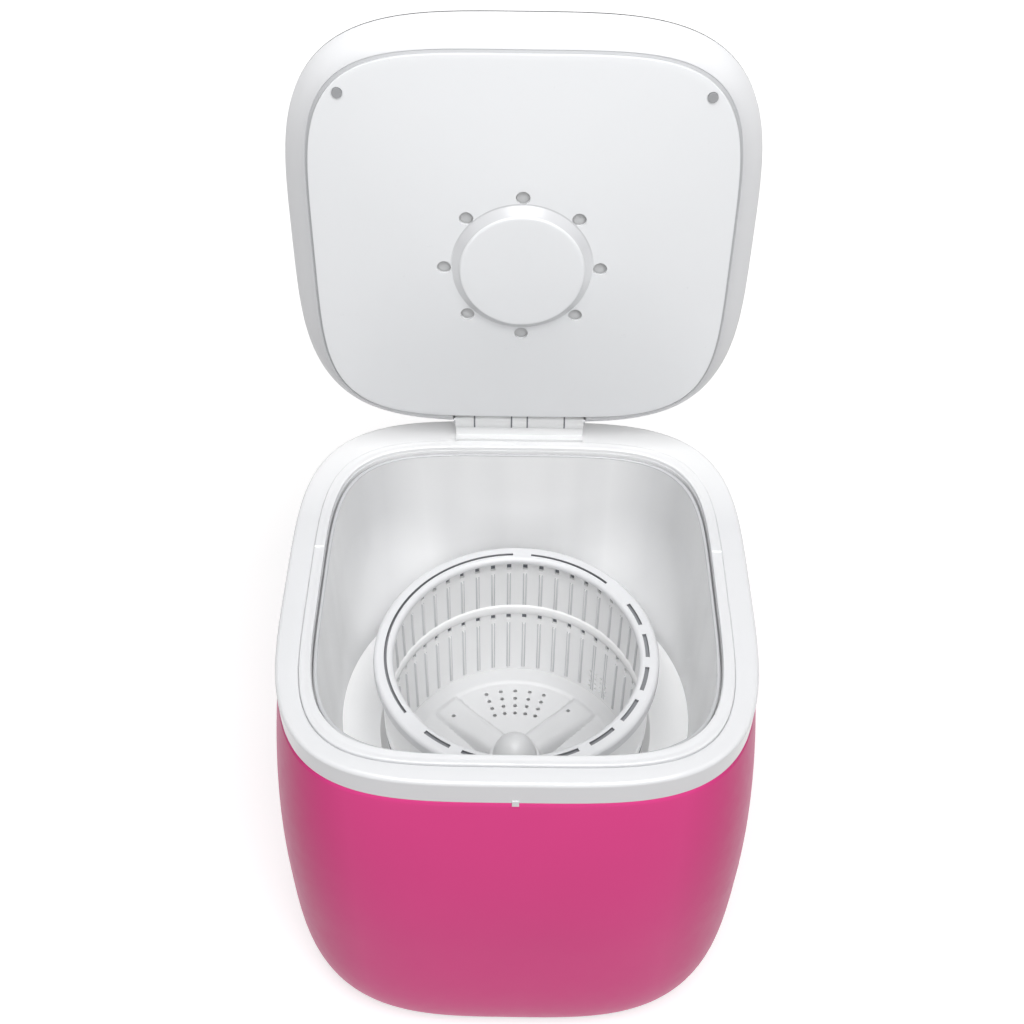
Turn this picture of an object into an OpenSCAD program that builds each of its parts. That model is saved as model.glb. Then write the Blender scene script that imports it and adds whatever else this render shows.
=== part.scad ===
// Portable washing machine with a swelling casing, a square tub, a spin basket and a hinged lid.
// Millimetres. The origin lies on the floor under the drive axis: X right, Y to the back, Z up.
// The lid is drawn shut and then swung open about its hinge by lid_open.

/* [Body] */
// Width of the body at the collar
body_w = 360; // [340:1:400]
// Depth of the body at the collar
body_d = 371; // [368:1:410]
// How far the middle of the body lies behind the drive axis
body_y = -4; // [-8:0.5:4]
// Height of the collar's top face
rim_z = 371; // [360:1:420]
// Squareness of the outline at the collar, where 2 is an ellipse
top_square = 3.8; // [3.2:0.1:4.6]
// Squareness of the outline at the foot
foot_square = 3.3; // [3:0.1:4]
// How far the casing swells past the collar on every side
swell = 15; // [8:0.5:20]
// Height of the casing's widest place
swell_z = 150; // [120:1:180]
// How far the casing draws in towards the floor
draw_in = 29; // [20:1:34]
// Wall of the casing
casing_wall = 3; // [2.5:0.1:3.5]
// Height of the casing's lower edge above the floor
casing_lift = 6; // [4:0.5:7]

/* [Collar] */
// Height of the collar's side band
band_h = 22.5; // [20:0.5:28]
// Wall of the collar's side band
collar_wall = 2.8; // [2.4:0.1:3.2]
// Thickness of the collar's top
collar_top = 5; // [4:0.5:6]
// How far the opening lies inside the body's sides
opening_side = 27.6; // [25:0.1:31]
// How far the opening lies inside the body's front and back
opening_end = 30.4; // [28:0.1:34]
// How far the middle of the opening lies behind the middle of the body
opening_y = -6.5; // [-9:0.5:-4]
// Squareness of the opening
opening_square = 4.4; // [3.8:0.1:5]
// Wall of the skirt round the opening
skirt_wall = 2.2; // [1.8:0.1:3]
// Width of the seal round the opening
seal_w = 9; // [7:0.5:10]
// How far the seal stands above the collar
seal_rise = 2; // [1:0.25:3]
// How far the seal is let into the collar
seal_seat = 2; // [1:0.25:3]
// Width of the small clip at the front of the collar's lower edge
clip_w = 5; // [4:0.5:8]
// Height of that clip
clip_h = 3.5; // [3:0.25:5]
// How far that clip stands out
clip_out = 1.1; // [1:0.1:1.6]
// How far that clip hangs below the collar
clip_drop = 2.5; // [1.5:0.25:3]

/* [Tub] */
// Wall of the tub
tub_wall = 2.5; // [2:0.1:3]
// Height of the tub's floor, on its inside
tub_floor_z = 95; // [93.5:0.5:97]
// Thickness of the tub's floor
tub_floor = 3; // [2.5:0.5:4]
// Inner radius of the round bowl at the tub's bottom
bowl_r = 118; // [117:1:120]
// Height of the seam between the tub's wall and its bowl, above the tub's floor
seam_up = 115; // [110:1:120]
// Height of the slope from that seam in to the bowl
shelf_h = 32; // [28:1:36]
// How far the bowl's lip laps over the foot of the wall
lap_h = 10; // [8:1:12]
// Thickness of that lip
lap_t = 2.5; // [2:0.25:3]
// Gap between that lip and the wall
lap_gap = 0.2; // [0.15:0.05:0.4]
// How far each side of the wall draws in from the rim to the seam
tub_draft_w = 1.5; // [1:0.25:4]
// How far the edge of the tub's flat floor lies inside the bowl's wall
floor_in = 6; // [4:0.5:8]
// How far below the collar's top the wall starts to turn round
straight_drop = 61; // [55:1:75]
// Gap between the tub's rim and the collar's skirt
tub_gap = 1.2; // [0.8:0.1:1.6]
// How far the tub's rim lies below the collar's top
tub_rim_drop = 4; // [3:0.5:5]
// Thickness of the flange that carries the tub
flange_t = 2.5; // [2:0.5:3]
// Radius of the thick pad under the tub's floor
pad_r = 48; // [46:1:52]
// Height of that pad
pad_h = 8; // [8:0.5:9]

/* [Basket] */
// Gap between the basket's wall and the bowl
basket_gap = 6; // [5.5:0.5:8]
// How far the balance ring stands out past the basket's wall
ring_out = 6; // [5:0.5:7]
// How far the balance ring reaches in from the wall's outside
ring_reach = 10.5; // [9.5:0.5:13]
// Height of the balance ring
ring_h = 14; // [12:0.5:18]
// Thickness of the balance ring's inner lip
ring_lip_t = 5.5; // [5:0.25:7]
// Height of the top of the balance ring above the floor
ring_z = 279; // [272:1:290]
// How far the groove in the balance ring lies inside the wall's outside
groove_in = 4; // [2.5:0.5:5.5]
// Width of that groove
groove_w = 2.4; // [1.6:0.2:3]
// Depth of that groove
groove_deep = 4; // [2:0.25:4.5]
// Thickness of the basket's wall
wall_t = 2.5; // [2:0.25:3]
// Holes in each row round the wall, each with a rib below it
hole_count = 48; // [36:4:56]
// Width of such a hole
hole_w = 4; // [3:0.2:5]
// Height of such a hole
hole_h = 7; // [5:0.5:9]
// Gap between a hole and the rib below it
rib_gap = 5; // [3:0.5:8]
// Width of a rib
rib_w = 1.8; // [1.4:0.1:3]
// How far a rib stands out from the wall
rib_out = 1.2; // [0.8:0.1:2]
// Height of the middle of the plain band between the two rows
band_mid_z = 203; // [198:0.5:208]
// Width of that band
mid_band = 12.6; // [10:0.2:16]
// Radius of a hole in the screen at the foot of the wall
screen_hole_r = 1.4; // [1:0.1:1.8]
// Thickness of the basket's floor
basket_floor = 3; // [2.5:0.25:4]
// Width of a vane on the basket's floor
vane_w = 28; // [22:0.5:30]
// Height of a vane at the hub
vane_h = 16; // [12:0.5:18]
// How far short of the wall's outside a vane ends
vane_short = 15; // [12:0.5:20]
// Width of the raised ledge round the basket's floor, from the wall's outside
ledge_in = 19; // [16:0.5:22]
// Radius of the basket's domed hub
hub_r = 20; // [19:0.5:22]
// Height of that hub above the basket's floor
hub_h = 40; // [34:0.5:44]
// Radius of a hole in the basket's floor
drain_hole_r = 1.8; // [1.4:0.1:2.2]
// Radius of the innermost row of those holes
fan_r = 58; // [54:0.5:60]
// Spacing of their rows
fan_step = 8.5; // [8:0.25:9]

/* [Drive] */
// Radius of the drive shaft
shaft_r = 6; // [5:0.25:6.5]
// Gap between the pulsator and the bowl's wall
pulsator_in = 30; // [24:1:36]
// Thickness of the pulsator's plate
pulsator_t = 4.5; // [4:0.5:6]
// Height of the pulsator's vanes above its plate
pulsator_vane = 4; // [3:0.25:4.5]
// Radius of the pulsator's hub
pulsator_hub_r = 16; // [14:0.5:18]
// Height of the pulsator's square above its vanes
square_h = 16; // [14:0.5:18]
// Length of the screw that holds the pulsator
pulsator_screw_len = 15; // [12:0.5:16]
// Side of the square that drives the basket
drive_square = 18; // [17:0.5:20]
// Radius of the bearing housing's barrel
barrel_r = 19; // [17:0.5:22]
// Radius of the bearing housing's flange
housing_flange_r = 45; // [43:0.5:46]
// Thickness of that flange
housing_flange = 4; // [4:0.5:5]
// Outer radius of a bush
bush_r = 10; // [9:0.25:11]
// Height of a bush
bush_h = 13; // [10:1:15]
// Height of the bearing housing from its foot to its top
housing_h = 38; // [36:0.5:38.5]
// Outer radius of the shaft seal
seal_r = 14; // [13:0.5:15]
// Radius of the bolt circle of the bearing housing
housing_pitch_r = 37; // [35:0.5:38]
// Radius of the large pulley where the belt runs
pulley_r = 66; // [60:0.5:68]
// Radius of the small pulley where the belt runs
pinion_r = 11; // [10:0.5:14]
// Height of the belt's middle above the floor
belt_z = 34; // [33.5:0.5:35]
// Width of the belt
belt_w = 9; // [8:0.5:10]
// Thickness of the belt
belt_t = 5; // [4:0.5:6]
// Height of a pulley's flanges over the belt's seat
pulley_lip = 4; // [3:0.5:5]
// Radius of the large pulley's hub
pulley_hub_r = 16; // [14:0.5:18]

/* [Motor] */
// Distance from the drive axis to the motor's axis
motor_reach = 125; // [120:0.5:130]
// Direction of the motor, as degrees from +X towards +Y
motor_angle = -35; // [-50:1:-20]
// Radius of the motor
motor_r = 42; // [38:0.5:43]
// Wall of the motor's can
can_wall = 3; // [2:0.5:4]
// Height of the motor's can
can_h = 36; // [32:1:36.5]
// Thickness of the motor's lower end shield
shield_t = 5; // [4:0.5:6]
// Thickness of the steel plate that carries the motor
plate_t = 3; // [2:0.5:4]
// Height of the plate's underside
plate_z = 46; // [45.5:0.5:46.5]
// Half the spacing of the plate's four posts
post_half = 38; // [36:0.5:40]
// Radius of a post
post_r = 6; // [5:0.5:7]
// Radius of the motor's shaft
motor_shaft_r = 4; // [3:0.25:5]
// Radius of the rotor
rotor_r = 22; // [18:0.5:24]
// Height of the rotor
rotor_h = 24; // [18:1:26]
// Radius of the run capacitor
capacitor_r = 17; // [14:0.5:20]
// Height of the run capacitor
capacitor_h = 50; // [40:1:60]
// How far the capacitor lies inside the body's left side
capacitor_in = 80; // [70:1:90]
// How far the capacitor lies behind the body's front
capacitor_back = 109.5; // [95:0.5:120]

/* [Lid] */
// How far the lid's sides lie inside the body's at the collar
lid_side = 3; // [1:0.25:6]
// How far the lid's front and back lie inside the body's depth at the collar
lid_end = 8.5; // [7:0.25:10]
// Squareness of the lid
lid_square = 3.6; // [3.2:0.1:4.4]
// Angle by which the lid stands open at rest
lid_open = 94; // [90:0.5:105]
// Gap between the shut lid's panel and the seal
lid_gap = 1; // [0.6:0.1:2]
// Wall of the lid's shells
lid_wall = 2.5; // [2:0.1:3]
// How far the lid's rim reaches inwards below the seam
rim_reach = 17.2; // [15:0.2:18]
// How far the rim drops from the seam
rim_drop = 18.5; // [16:0.5:19]
// Height of the rounded edge above the seam
edge_h = 9; // [7:0.5:12]
// How far in that rounded edge reaches
edge_reach = 12; // [9:0.5:15]
// Height that the top rises from its edge to its middle
dome_h = 12; // [8:0.5:16]
// How far the inner panel's sides lie inside the lid's
panel_side = 19.5; // [19:0.25:22]
// How far the inner panel's front and back lie inside the lid's
panel_end = 21; // [20:0.25:23]
// Squareness of the inner panel
panel_square = 4.4; // [4:0.1:4.8]
// How far the panel's face lies below the lid's seam
panel_drop = 21.5; // [20:0.5:24]
// Wall of the inner panel
panel_wall = 2.5; // [2:0.1:3]
// How far the panel's face falls from its edge to the ring of holes
panel_fall = 3.8; // [2:0.2:6]
// Radius of the flat disc in the panel's middle
disc_r = 47.4; // [44:0.2:50]
// How far the disc stands out from the ring of holes
disc_out = 7; // [5:0.25:9]
// Radius of the ring of vent holes
vent_ring_r = 59.3; // [58:0.1:62]
// Radius of a vent hole
vent_r = 5.3; // [4:0.1:6]
// Number of vent holes
vent_count = 8; // [6:1:10]
// How far the two lid screws lie inside the panel's outline
lid_screw_in = 5.8; // [5.6:0.1:8]
// Where on that outline they lie, as degrees from +X
lid_screw_turn = 43.7; // [40:0.1:48]
// Radius of a lid screw
lid_screw_r = 1.5; // [1.25:0.05:1.75]
// Radius of a lid screw's head
lid_head_r = 3.6; // [3:0.1:4]
// Radius of the boss that a lid screw goes into
lid_boss_r = 3.6; // [3.2:0.1:3.8]
// Length of a lid screw
lid_screw_len = 11; // [9:0.5:13]
// Thickness of the frame plate inside the lid
frame_t = 2.5; // [2:0.5:3]

/* [Hinge] */
// How far the hinge axis lies in front of the lid's back edge
hinge_in = 5.5; // [4:0.25:7]
// Height of the hinge axis above the collar's top
hinge_up = 19; // [18:0.25:20]
// Radius of the hinge pin
pin_r = 2.5; // [2:0.1:3]
// Radius of a hinge barrel
barrel_out_r = 6.8; // [6:0.1:7.5]
// Half the width of the whole hinge
hinge_half = 54; // [50:0.5:60]
// Width of each outer lug on the collar
outer_lug = 16; // [12:0.5:18]
// Width of the middle lug on the collar
mid_lug = 13; // [10:0.5:16]
// How far the lugs' web reaches in front of the hinge axis
web_front = 1.5; // [0.5:0.25:4]
// How far the arms on the lid reach in front of the hinge axis
arm_len = 57; // [50:1:64]
// How far the arms' first screws lie in front of the hinge axis
arm_screw_far = 49; // [44:1:54]
// How far the arms' second screws lie in front of the hinge axis
arm_screw_near = 35; // [30:1:40]
// Thickness of the arms
arm_t = 4; // [3:0.5:5]

/* [Timer] */
// Radius of the timer knob at its foot
knob_r = 26; // [22:0.5:30]
// Height of the timer knob
knob_h = 19; // [15:0.5:24]
// Radius of the dial plate
dial_r = 46; // [42:0.5:49]
// Thickness of the dial plate
dial_t = 1.6; // [1.2:0.2:2.4]
// Radius of the timer's body
timer_r = 24; // [20:0.5:30]
// Height of the timer's body
timer_h = 20; // [16:0.5:22]
// Radius of the timer's shaft
timer_shaft_r = 3; // [2.5:0.25:4]

/* [Base] */
// Height of the rubber foot ring
foot_h = 8; // [6:0.5:8]
// Width of the foot ring
foot_w = 14; // [10:0.5:18]
// How far the foot ring lies inside the body's outline
foot_inset = 32; // [28:0.5:40]
// Thickness of the base pan
pan_t = 3; // [2.5:0.5:3]
// How far the casing's inner flange reaches in over the base pan
pan_flange = 15; // [13:0.5:18]
// Thickness of that flange
pan_flange_t = 3; // [2.5:0.5:4]
// Radius of the screws under the base
base_screw_r = 2; // [1.5:0.25:2.5]

/* [Rear fittings] */
// How far the drain lies to the left of the middle
drain_x = 60; // [50:1:70]
// How far the drain port lies inside the edge of the tub's flat floor
drain_in = 19.8; // [17:0.2:24]
// Height of the drain spigot's axis
drain_z = 50; // [46:1:56]
// Outer radius of the drain spigot
spigot_r = 10; // [9:0.25:11]
// Bore radius of the drain
drain_bore_r = 7.5; // [6.5:0.25:8]
// Length of the spigot outside its flange
spigot_len = 26; // [20:1:32]
// Bend radius of the drain elbow
elbow_r = 20; // [18:1:24]
// How far the cord entry lies to the right of the middle
gland_x = 60; // [50:1:70]
// Height of the cord entry
gland_z = 50; // [44:1:56]
// Bore radius of the cord entry
gland_bore_r = 3.6; // [3:0.1:4.2]

/* [Fits] */
// Radial gap of a shaft that turns in its bearing
run_gap = 0.05; // [0.02:0.01:0.1]
// Radial gap of a pin or shaft that stays fixed in its hole
fixed_gap = 0.02; // [0.01:0.01:0.05]
// Gap between parts that pass each other
pass_gap = 0.3; // [0.2:0.05:0.5]
// Radius of the machine screws
bolt_r = 2; // [1.5:0.25:2.5]

/* [Hidden] */
$fn = 96;

white = [0.93, 0.93, 0.94];
soft_white = [0.88, 0.89, 0.9];
pink = [0.8, 0.24, 0.5];
steel = [0.66, 0.67, 0.69];
dark = [0.18, 0.18, 0.2];
copper = [0.72, 0.45, 0.25];

// Points round one outline
ring_points = 72;
// Overlap that makes a cut or a joint clean
bite = 1;
// How sharply the casing rounds under towards the floor
foot_round = 3.8;

tub_floor_r = bowl_r - floor_in;
drain_y = sqrt(pow(tub_floor_r - drain_in, 2) - drain_x * drain_x);
wall_r = bowl_r - basket_gap;
ring_r = wall_r + ring_out;
ring_in_r = wall_r - ring_reach;
groove_r = wall_r - groove_in;
vane_end = wall_r - vane_short;
ledge_r = wall_r - ledge_in;
pulsator_r = bowl_r - pulsator_in;

band_z = rim_z - band_h;
seal_top_z = rim_z + seal_rise;
tongue_h = 7.5;
flange_z = band_z + tongue_h;
skirt_z = flange_z + flange_t + pass_gap;
opening_w = body_w - 2 * opening_side;
opening_d = body_d - 2 * opening_end;
opening_mid = body_y + opening_y;
lid_w = body_w - 2 * lid_side;
lid_d = body_d - 2 * lid_end;
lid_mid = opening_mid;
panel_w = lid_w - 2 * panel_side;
panel_d = lid_d - 2 * panel_end;
lid_screw_x = (panel_w / 2 - lid_screw_in) * pow(cos(lid_screw_turn), 2 / panel_square);
lid_screw_y = (panel_d / 2 - lid_screw_in) * pow(sin(lid_screw_turn), 2 / panel_square);
face_z = seal_top_z + lid_gap;
seam_z = face_z + panel_drop;
seam_gap = 0.3;
hinge_y = lid_mid + lid_d / 2 - hinge_in;
hinge_z = rim_z + hinge_up;
tub_rim_z = rim_z - tub_rim_drop;
pad_z = tub_floor_z - tub_floor - pad_h;
housing_top_z = pad_z;
housing_z = housing_top_z - housing_h;
pulsator_z = tub_floor_z + 3.6;
pulsator_top_z = pulsator_z + pulsator_t + pulsator_vane;
boss_top_z = pulsator_top_z + square_h;
shaft_top_z = boss_top_z - 6;
nut_h = 8;
pulley_side = 2.5;
pulley_hub_z = belt_z - belt_w / 2 - pulley_side - 2.5;
nut_z = pulley_hub_z - nut_h;
shaft_foot_z = nut_z - 3;
plate_top_z = plate_z + plate_t;
can_z = plate_top_z + shield_t;
motor_x = motor_reach * cos(motor_angle);
motor_y = motor_reach * sin(motor_angle);
basket_z = pulsator_top_z + 3;
basket_floor_z = basket_z + basket_floor;
pan_z = foot_h;
pan_top_z = pan_z + pan_t;
frame_z = seam_z - 0.1 - frame_t;

function lerp(a, b, f) = a + (b - a) * f;
function curve(v, p) = sign(v) * pow(abs(v), p);

// One level outline: half width, half depth, squareness, middle and height
function outline(hw, hd, square, mid, z) = [
  for (i = [0 : ring_points - 1])
    let (t = 360 * i / ring_points)
      [hw * curve(cos(t), 2 / square), mid + hd * curve(sin(t), 2 / square), z]
];

// How far the casing stands outside the collar at a height
function casing_out(z) =
  z >= swell_z
    ? swell * (1 - pow((z - swell_z) / (band_z - swell_z), 2))
    : swell - draw_in * (1 - sqrt(max(0, 1 - pow((swell_z - z) / swell_z, foot_round))));

function casing_square(z) = lerp(top_square, foot_square, (band_z - z) / band_z);

function casing_ring(z, grow) =
  outline(body_w / 2 + casing_out(z) + grow, body_d / 2 + casing_out(z) + grow,
          casing_square(z), body_y, z);

function collar_ring(grow, z) =
  outline(body_w / 2 + grow, body_d / 2 + grow, top_square, body_y, z);

function opening_ring(grow, z) =
  outline(opening_w / 2 + grow, opening_d / 2 + grow, opening_square, opening_mid, z);

// The tub's wall turns from the square of the opening into a circle at its seam
tub_w = opening_w / 2 - tub_gap;
tub_d = opening_d / 2 - tub_gap;
tub_seam_z = tub_floor_z + seam_up;
straight_z = rim_z - straight_drop;
function ease(f) = let (g = min(1, max(0, f))) g * g * (3 - 2 * g);
function tub_turn(z) = ease((straight_z - z) / (straight_z - tub_seam_z));
function tub_draft(z) = tub_draft_w * (tub_rim_z - z) / (tub_rim_z - tub_seam_z);
function tub_ring(z, grow) =
  let (f = tub_turn(z), w = tub_w - tub_draft(z), d = lerp(tub_d - tub_draft(z), w, f))
    outline(w + grow, d + grow, lerp(opening_square, 2, f), opening_mid + f * (tub_d - tub_w), z);

// Below the seam a slope leads in to the round bowl
seam_r = tub_w - tub_draft_w;
bowl_top_z = tub_seam_z - shelf_h;
bowl_low_z = tub_floor_z + 16;
function seam_ring(grow, z) = outline(seam_r + grow, seam_r + grow, 2, opening_mid + tub_d - tub_w, z);

function lid_ring(grow, z) =
  outline(lid_w / 2 + grow, lid_d / 2 + grow, lid_square, lid_mid, z);

// The lid's top goes from its edge, f = 0, to a round seat for the dial, f = 1
dial_seat_r = dial_r + 4;
function top_ring(f, grow, z) =
  outline(lerp(lid_w / 2 - edge_reach, dial_seat_r, f) + grow,
          lerp(lid_d / 2 - edge_reach, dial_seat_r, f) + grow,
          lerp(lid_square, 2, f), lerp(lid_mid, 0, f), z);
function top_z(f) = seam_z + edge_h + dome_h * (1 - pow(1 - f, 2));
lid_top_z = top_z(1);

// The panel's face goes from its edge, f = 0, to the round ring of vents, f = 1
vent_out_r = vent_ring_r + vent_r + 1.2;
function panel_ring(f, grow, z) =
  outline(lerp(panel_w / 2, vent_out_r, f) + grow, lerp(panel_d / 2, vent_out_r, f) + grow,
          lerp(panel_square, 2, f), lerp(lid_mid, 0, f), z);

// The lid's rim goes from the seam, f = 0, inwards and down to its lip beside the panel, f = 1
rim_groove = lid_w / 2 - rim_reach - panel_w / 2;
rim_lip_w = panel_w / 2 + rim_groove;
rim_lip_d = panel_d / 2 + rim_groove;
function rim_ring(f, z) =
  outline(lerp(lid_w / 2, rim_lip_w, f), lerp(lid_d / 2, rim_lip_d, f),
          lerp(lid_square, panel_square, f), lid_mid, z);
function rim_in(a) = 1 - pow(cos(a), 2 / 1.2);
function rim_low(a) = rim_drop * pow(sin(a), 2 / 1.2);

// A solid through a list of outlines, closed by its first and last outline
module loft(rings) {
  n = len(rings[0]);
  m = len(rings);
  sides = [
    for (k = [0 : m - 2], i = [0 : n - 1])
      let (j = (i + 1) % n)
        each [[k * n + i, (k + 1) * n + i, (k + 1) * n + j], [k * n + i, (k + 1) * n + j, k * n + j]]
  ];
  first = [[for (i = [0 : n - 1]) i]];
  last = [[for (i = [0 : n - 1]) m * n - 1 - i]];
  polyhedron([for (r = rings) each r], concat(sides, first, last));
}

// A hollow ring through a list of outlines that comes round to its start
module loop(rings) {
  n = len(rings[0]);
  m = len(rings);
  sides = [
    for (k = [0 : m - 1], i = [0 : n - 1])
      let (j = (i + 1) % n, l = (k + 1) % m)
        each [[k * n + i, l * n + i, l * n + j], [k * n + i, l * n + j, k * n + j]]
  ];
  polyhedron([for (r = rings) each r], sides);
}

// A flat slab of one outline
module slab(ring, h) {
  translate([0, 0, ring[0][2]])
    linear_extrude(h)
      polygon([for (p = ring) [p[0], p[1]]]);
}

module tube(r, r_in, z, h) {
  translate([0, 0, z])
    difference() {
      cylinder(r = r, h = h);
      translate([0, 0, -bite]) cylinder(r = r_in, h = h + 2 * bite);
    }
}

// A screw with a round head that points up along Z, its head below z
module screw(r, z, length, head_r, head_h) {
  translate([0, 0, z - head_h]) cylinder(r = head_r, h = head_h, $fn = 32);
  translate([0, 0, z - bite / 2]) cylinder(r = r, h = length + bite / 2, $fn = 32);
}

// The same screw with its head above z and its shank pointing down
module screw_down(r, z, length, head_r, head_h) {
  translate([0, 0, z]) cylinder(r = head_r, h = head_h, $fn = 32);
  translate([0, 0, z - length]) cylinder(r = r, h = length + bite / 2, $fn = 32);
}

// Everything on the lid is drawn shut and swung open about the hinge
module on_lid() {
  translate([0, hinge_y, hinge_z])
    rotate([-lid_open, 0, 0])
      translate([0, -hinge_y, -hinge_z])
        children();
}

module at_motor() {
  translate([motor_x, motor_y, 0]) children();
}

module round_pattern(count, r, start = 0) {
  for (i = [0 : count - 1])
    rotate(start + 360 * i / count) translate([r, 0, 0]) children();
}

foot_hw = body_w / 2 + casing_out(pan_z);
foot_hd = body_d / 2 + casing_out(pan_z);
// Places of the screws that hold the base pan, set in from the body's outline
base_screw_spots = [
  for (a = [30, 90, 150, 210, 270, 330])
    let (p = 2 / foot_square, inset = pan_flange / 2 + casing_wall)
      [(foot_hw - inset) * curve(cos(a), p), body_y + (foot_hd - inset) * curve(sin(a), p)]
];
base_head_h = 2.5;

rear_y = body_y + body_d / 2 + casing_out(drain_z);
port_flange_r = 16;
port_in_y = rear_y - casing_wall - 5;
pad_y = rear_y + 3;
gland_body_r = 7;
port_pad_r = 18;

module casing() {
  color(pink)
    difference() {
      union() {
        casing_shell();
        for (p = [[-drain_x, drain_z], [gland_x, gland_z]])
          translate([p[0], port_in_y, p[1]])
            rotate([-90, 0, 0]) cylinder(r = port_pad_r, h = pad_y - port_in_y);
      }
      rear_holes();
      for (p = base_screw_spots)
        translate([p[0], p[1], pan_top_z - bite])
          cylinder(r = base_screw_r + fixed_gap, h = pan_flange_t + 2 * bite, $fn = 32);
    }
}

// Heights of the casing's lower rings, from its edge, 0, to its widest place, 1
casing_steps = [0, 0.02, 0.055, 0.11, 0.195, 0.32, 0.515, 0.757, 1];

module casing_shell() {
  pan_w = foot_hw - casing_wall - pan_flange;
  pan_d = foot_hd - casing_wall - pan_flange;
  loop(concat(
    [for (f = casing_steps) casing_ring(lerp(casing_lift, swell_z, f), 0)],
    [for (f = [0.2, 0.4, 0.6, 0.8, 1]) casing_ring(lerp(swell_z, band_z, f), 0)],
    [collar_ring(-collar_wall - pass_gap, band_z)],
    [collar_ring(-collar_wall - pass_gap, flange_z)],
    [collar_ring(-collar_wall - casing_wall, flange_z)],
    [casing_ring(band_z - 8, -casing_wall)],
    [for (f = [0.7, 0.5, 0.3, 0]) casing_ring(lerp(swell_z, band_z, f), -casing_wall)],
    [for (k = [7 : -1 : 3]) casing_ring(lerp(casing_lift, swell_z, casing_steps[k]), -casing_wall)],
    [casing_ring(pan_top_z + pan_flange_t, -casing_wall)],
    [outline(pan_w, pan_d, foot_square, body_y, pan_top_z + pan_flange_t)],
    [outline(pan_w, pan_d, foot_square, body_y, pan_top_z)],
    [casing_ring(pan_top_z, -casing_wall)],
    [casing_ring(casing_lift, -casing_wall / 2)]
  ));
}

// The two round holes in the casing's back, for the drain and for the cord
module rear_holes() {
  translate([-drain_x, port_in_y - 4, drain_z])
    rotate([-90, 0, 0]) cylinder(r = spigot_r + 2 + pass_gap, h = 30);
  translate([gland_x, port_in_y - 4, gland_z])
    rotate([-90, 0, 0]) cylinder(r = gland_body_r + pass_gap, h = 30);
}

module collar() {
  color(white)
    difference() {
      collar_shell();
      for (p = bracket_screw_spots)
        translate([p[0], p[1], rim_z - collar_top - bite])
          cylinder(r = bolt_r + fixed_gap, h = collar_top + 2 * bite, $fn = 32);
    }
}

module collar_shell() {
  loop([
    collar_ring(0, band_z),
    collar_ring(0, rim_z - 3),
    collar_ring(-0.9, rim_z - 0.9),
    collar_ring(-3, rim_z),
    opening_ring(seal_w, rim_z),
    opening_ring(seal_w, rim_z - seal_seat),
    opening_ring(0, rim_z - seal_seat),
    opening_ring(0, skirt_z),
    opening_ring(skirt_wall, skirt_z),
    opening_ring(skirt_wall, rim_z - collar_top),
    collar_ring(-collar_wall, rim_z - collar_top),
    collar_ring(-collar_wall, band_z)
  ]);
}

module front_clip() {
  color(white)
    translate([-clip_w / 2, body_y - body_d / 2 - clip_out, band_z]) {
      cube([clip_w, clip_out, clip_h]);
      translate([0, 0, -clip_drop])
        cube([clip_w, clip_out - casing_out(band_z - clip_drop) - 0.1, clip_drop + bite]);
    }
}

module lid_seal() {
  color(white)
    loop([
      opening_ring(0.2, rim_z - seal_seat),
      opening_ring(0.2, seal_top_z - 0.8),
      opening_ring(1.2, seal_top_z),
      opening_ring(seal_w - 1.6, seal_top_z),
      opening_ring(seal_w - 0.2, seal_top_z - 1.2),
      opening_ring(seal_w - 0.2, rim_z - seal_seat)
    ]);
}

drain_port_r = 10;

module tub() {
  steps = [0.12, 0.24, 0.36, 0.48, 0.6, 0.72, 0.86, 1];
  lap_z = tub_seam_z + lap_h;
  levels = concat([tub_seam_z + fixed_gap, lap_z], [for (f = steps) lerp(lap_z, straight_z, f)]);
  flange_w = body_w / 2 - collar_wall - pass_gap - 0.5;
  flange_d = body_d / 2 - collar_wall - pass_gap - 0.5;
  color(soft_white)
    loop(concat(
      [for (z = levels) tub_ring(z, 0)],
      [tub_ring(flange_z, 0)],
      [outline(flange_w, flange_d, top_square, body_y, flange_z)],
      [outline(flange_w, flange_d, top_square, body_y, flange_z + flange_t)],
      [tub_ring(flange_z + flange_t, 0)],
      [tub_ring(tub_rim_z, 0)],
      [tub_ring(tub_rim_z, -tub_wall)],
      [for (k = [len(levels) - 1 : -1 : 0]) tub_ring(levels[k], -tub_wall)]
    ));
}

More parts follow.
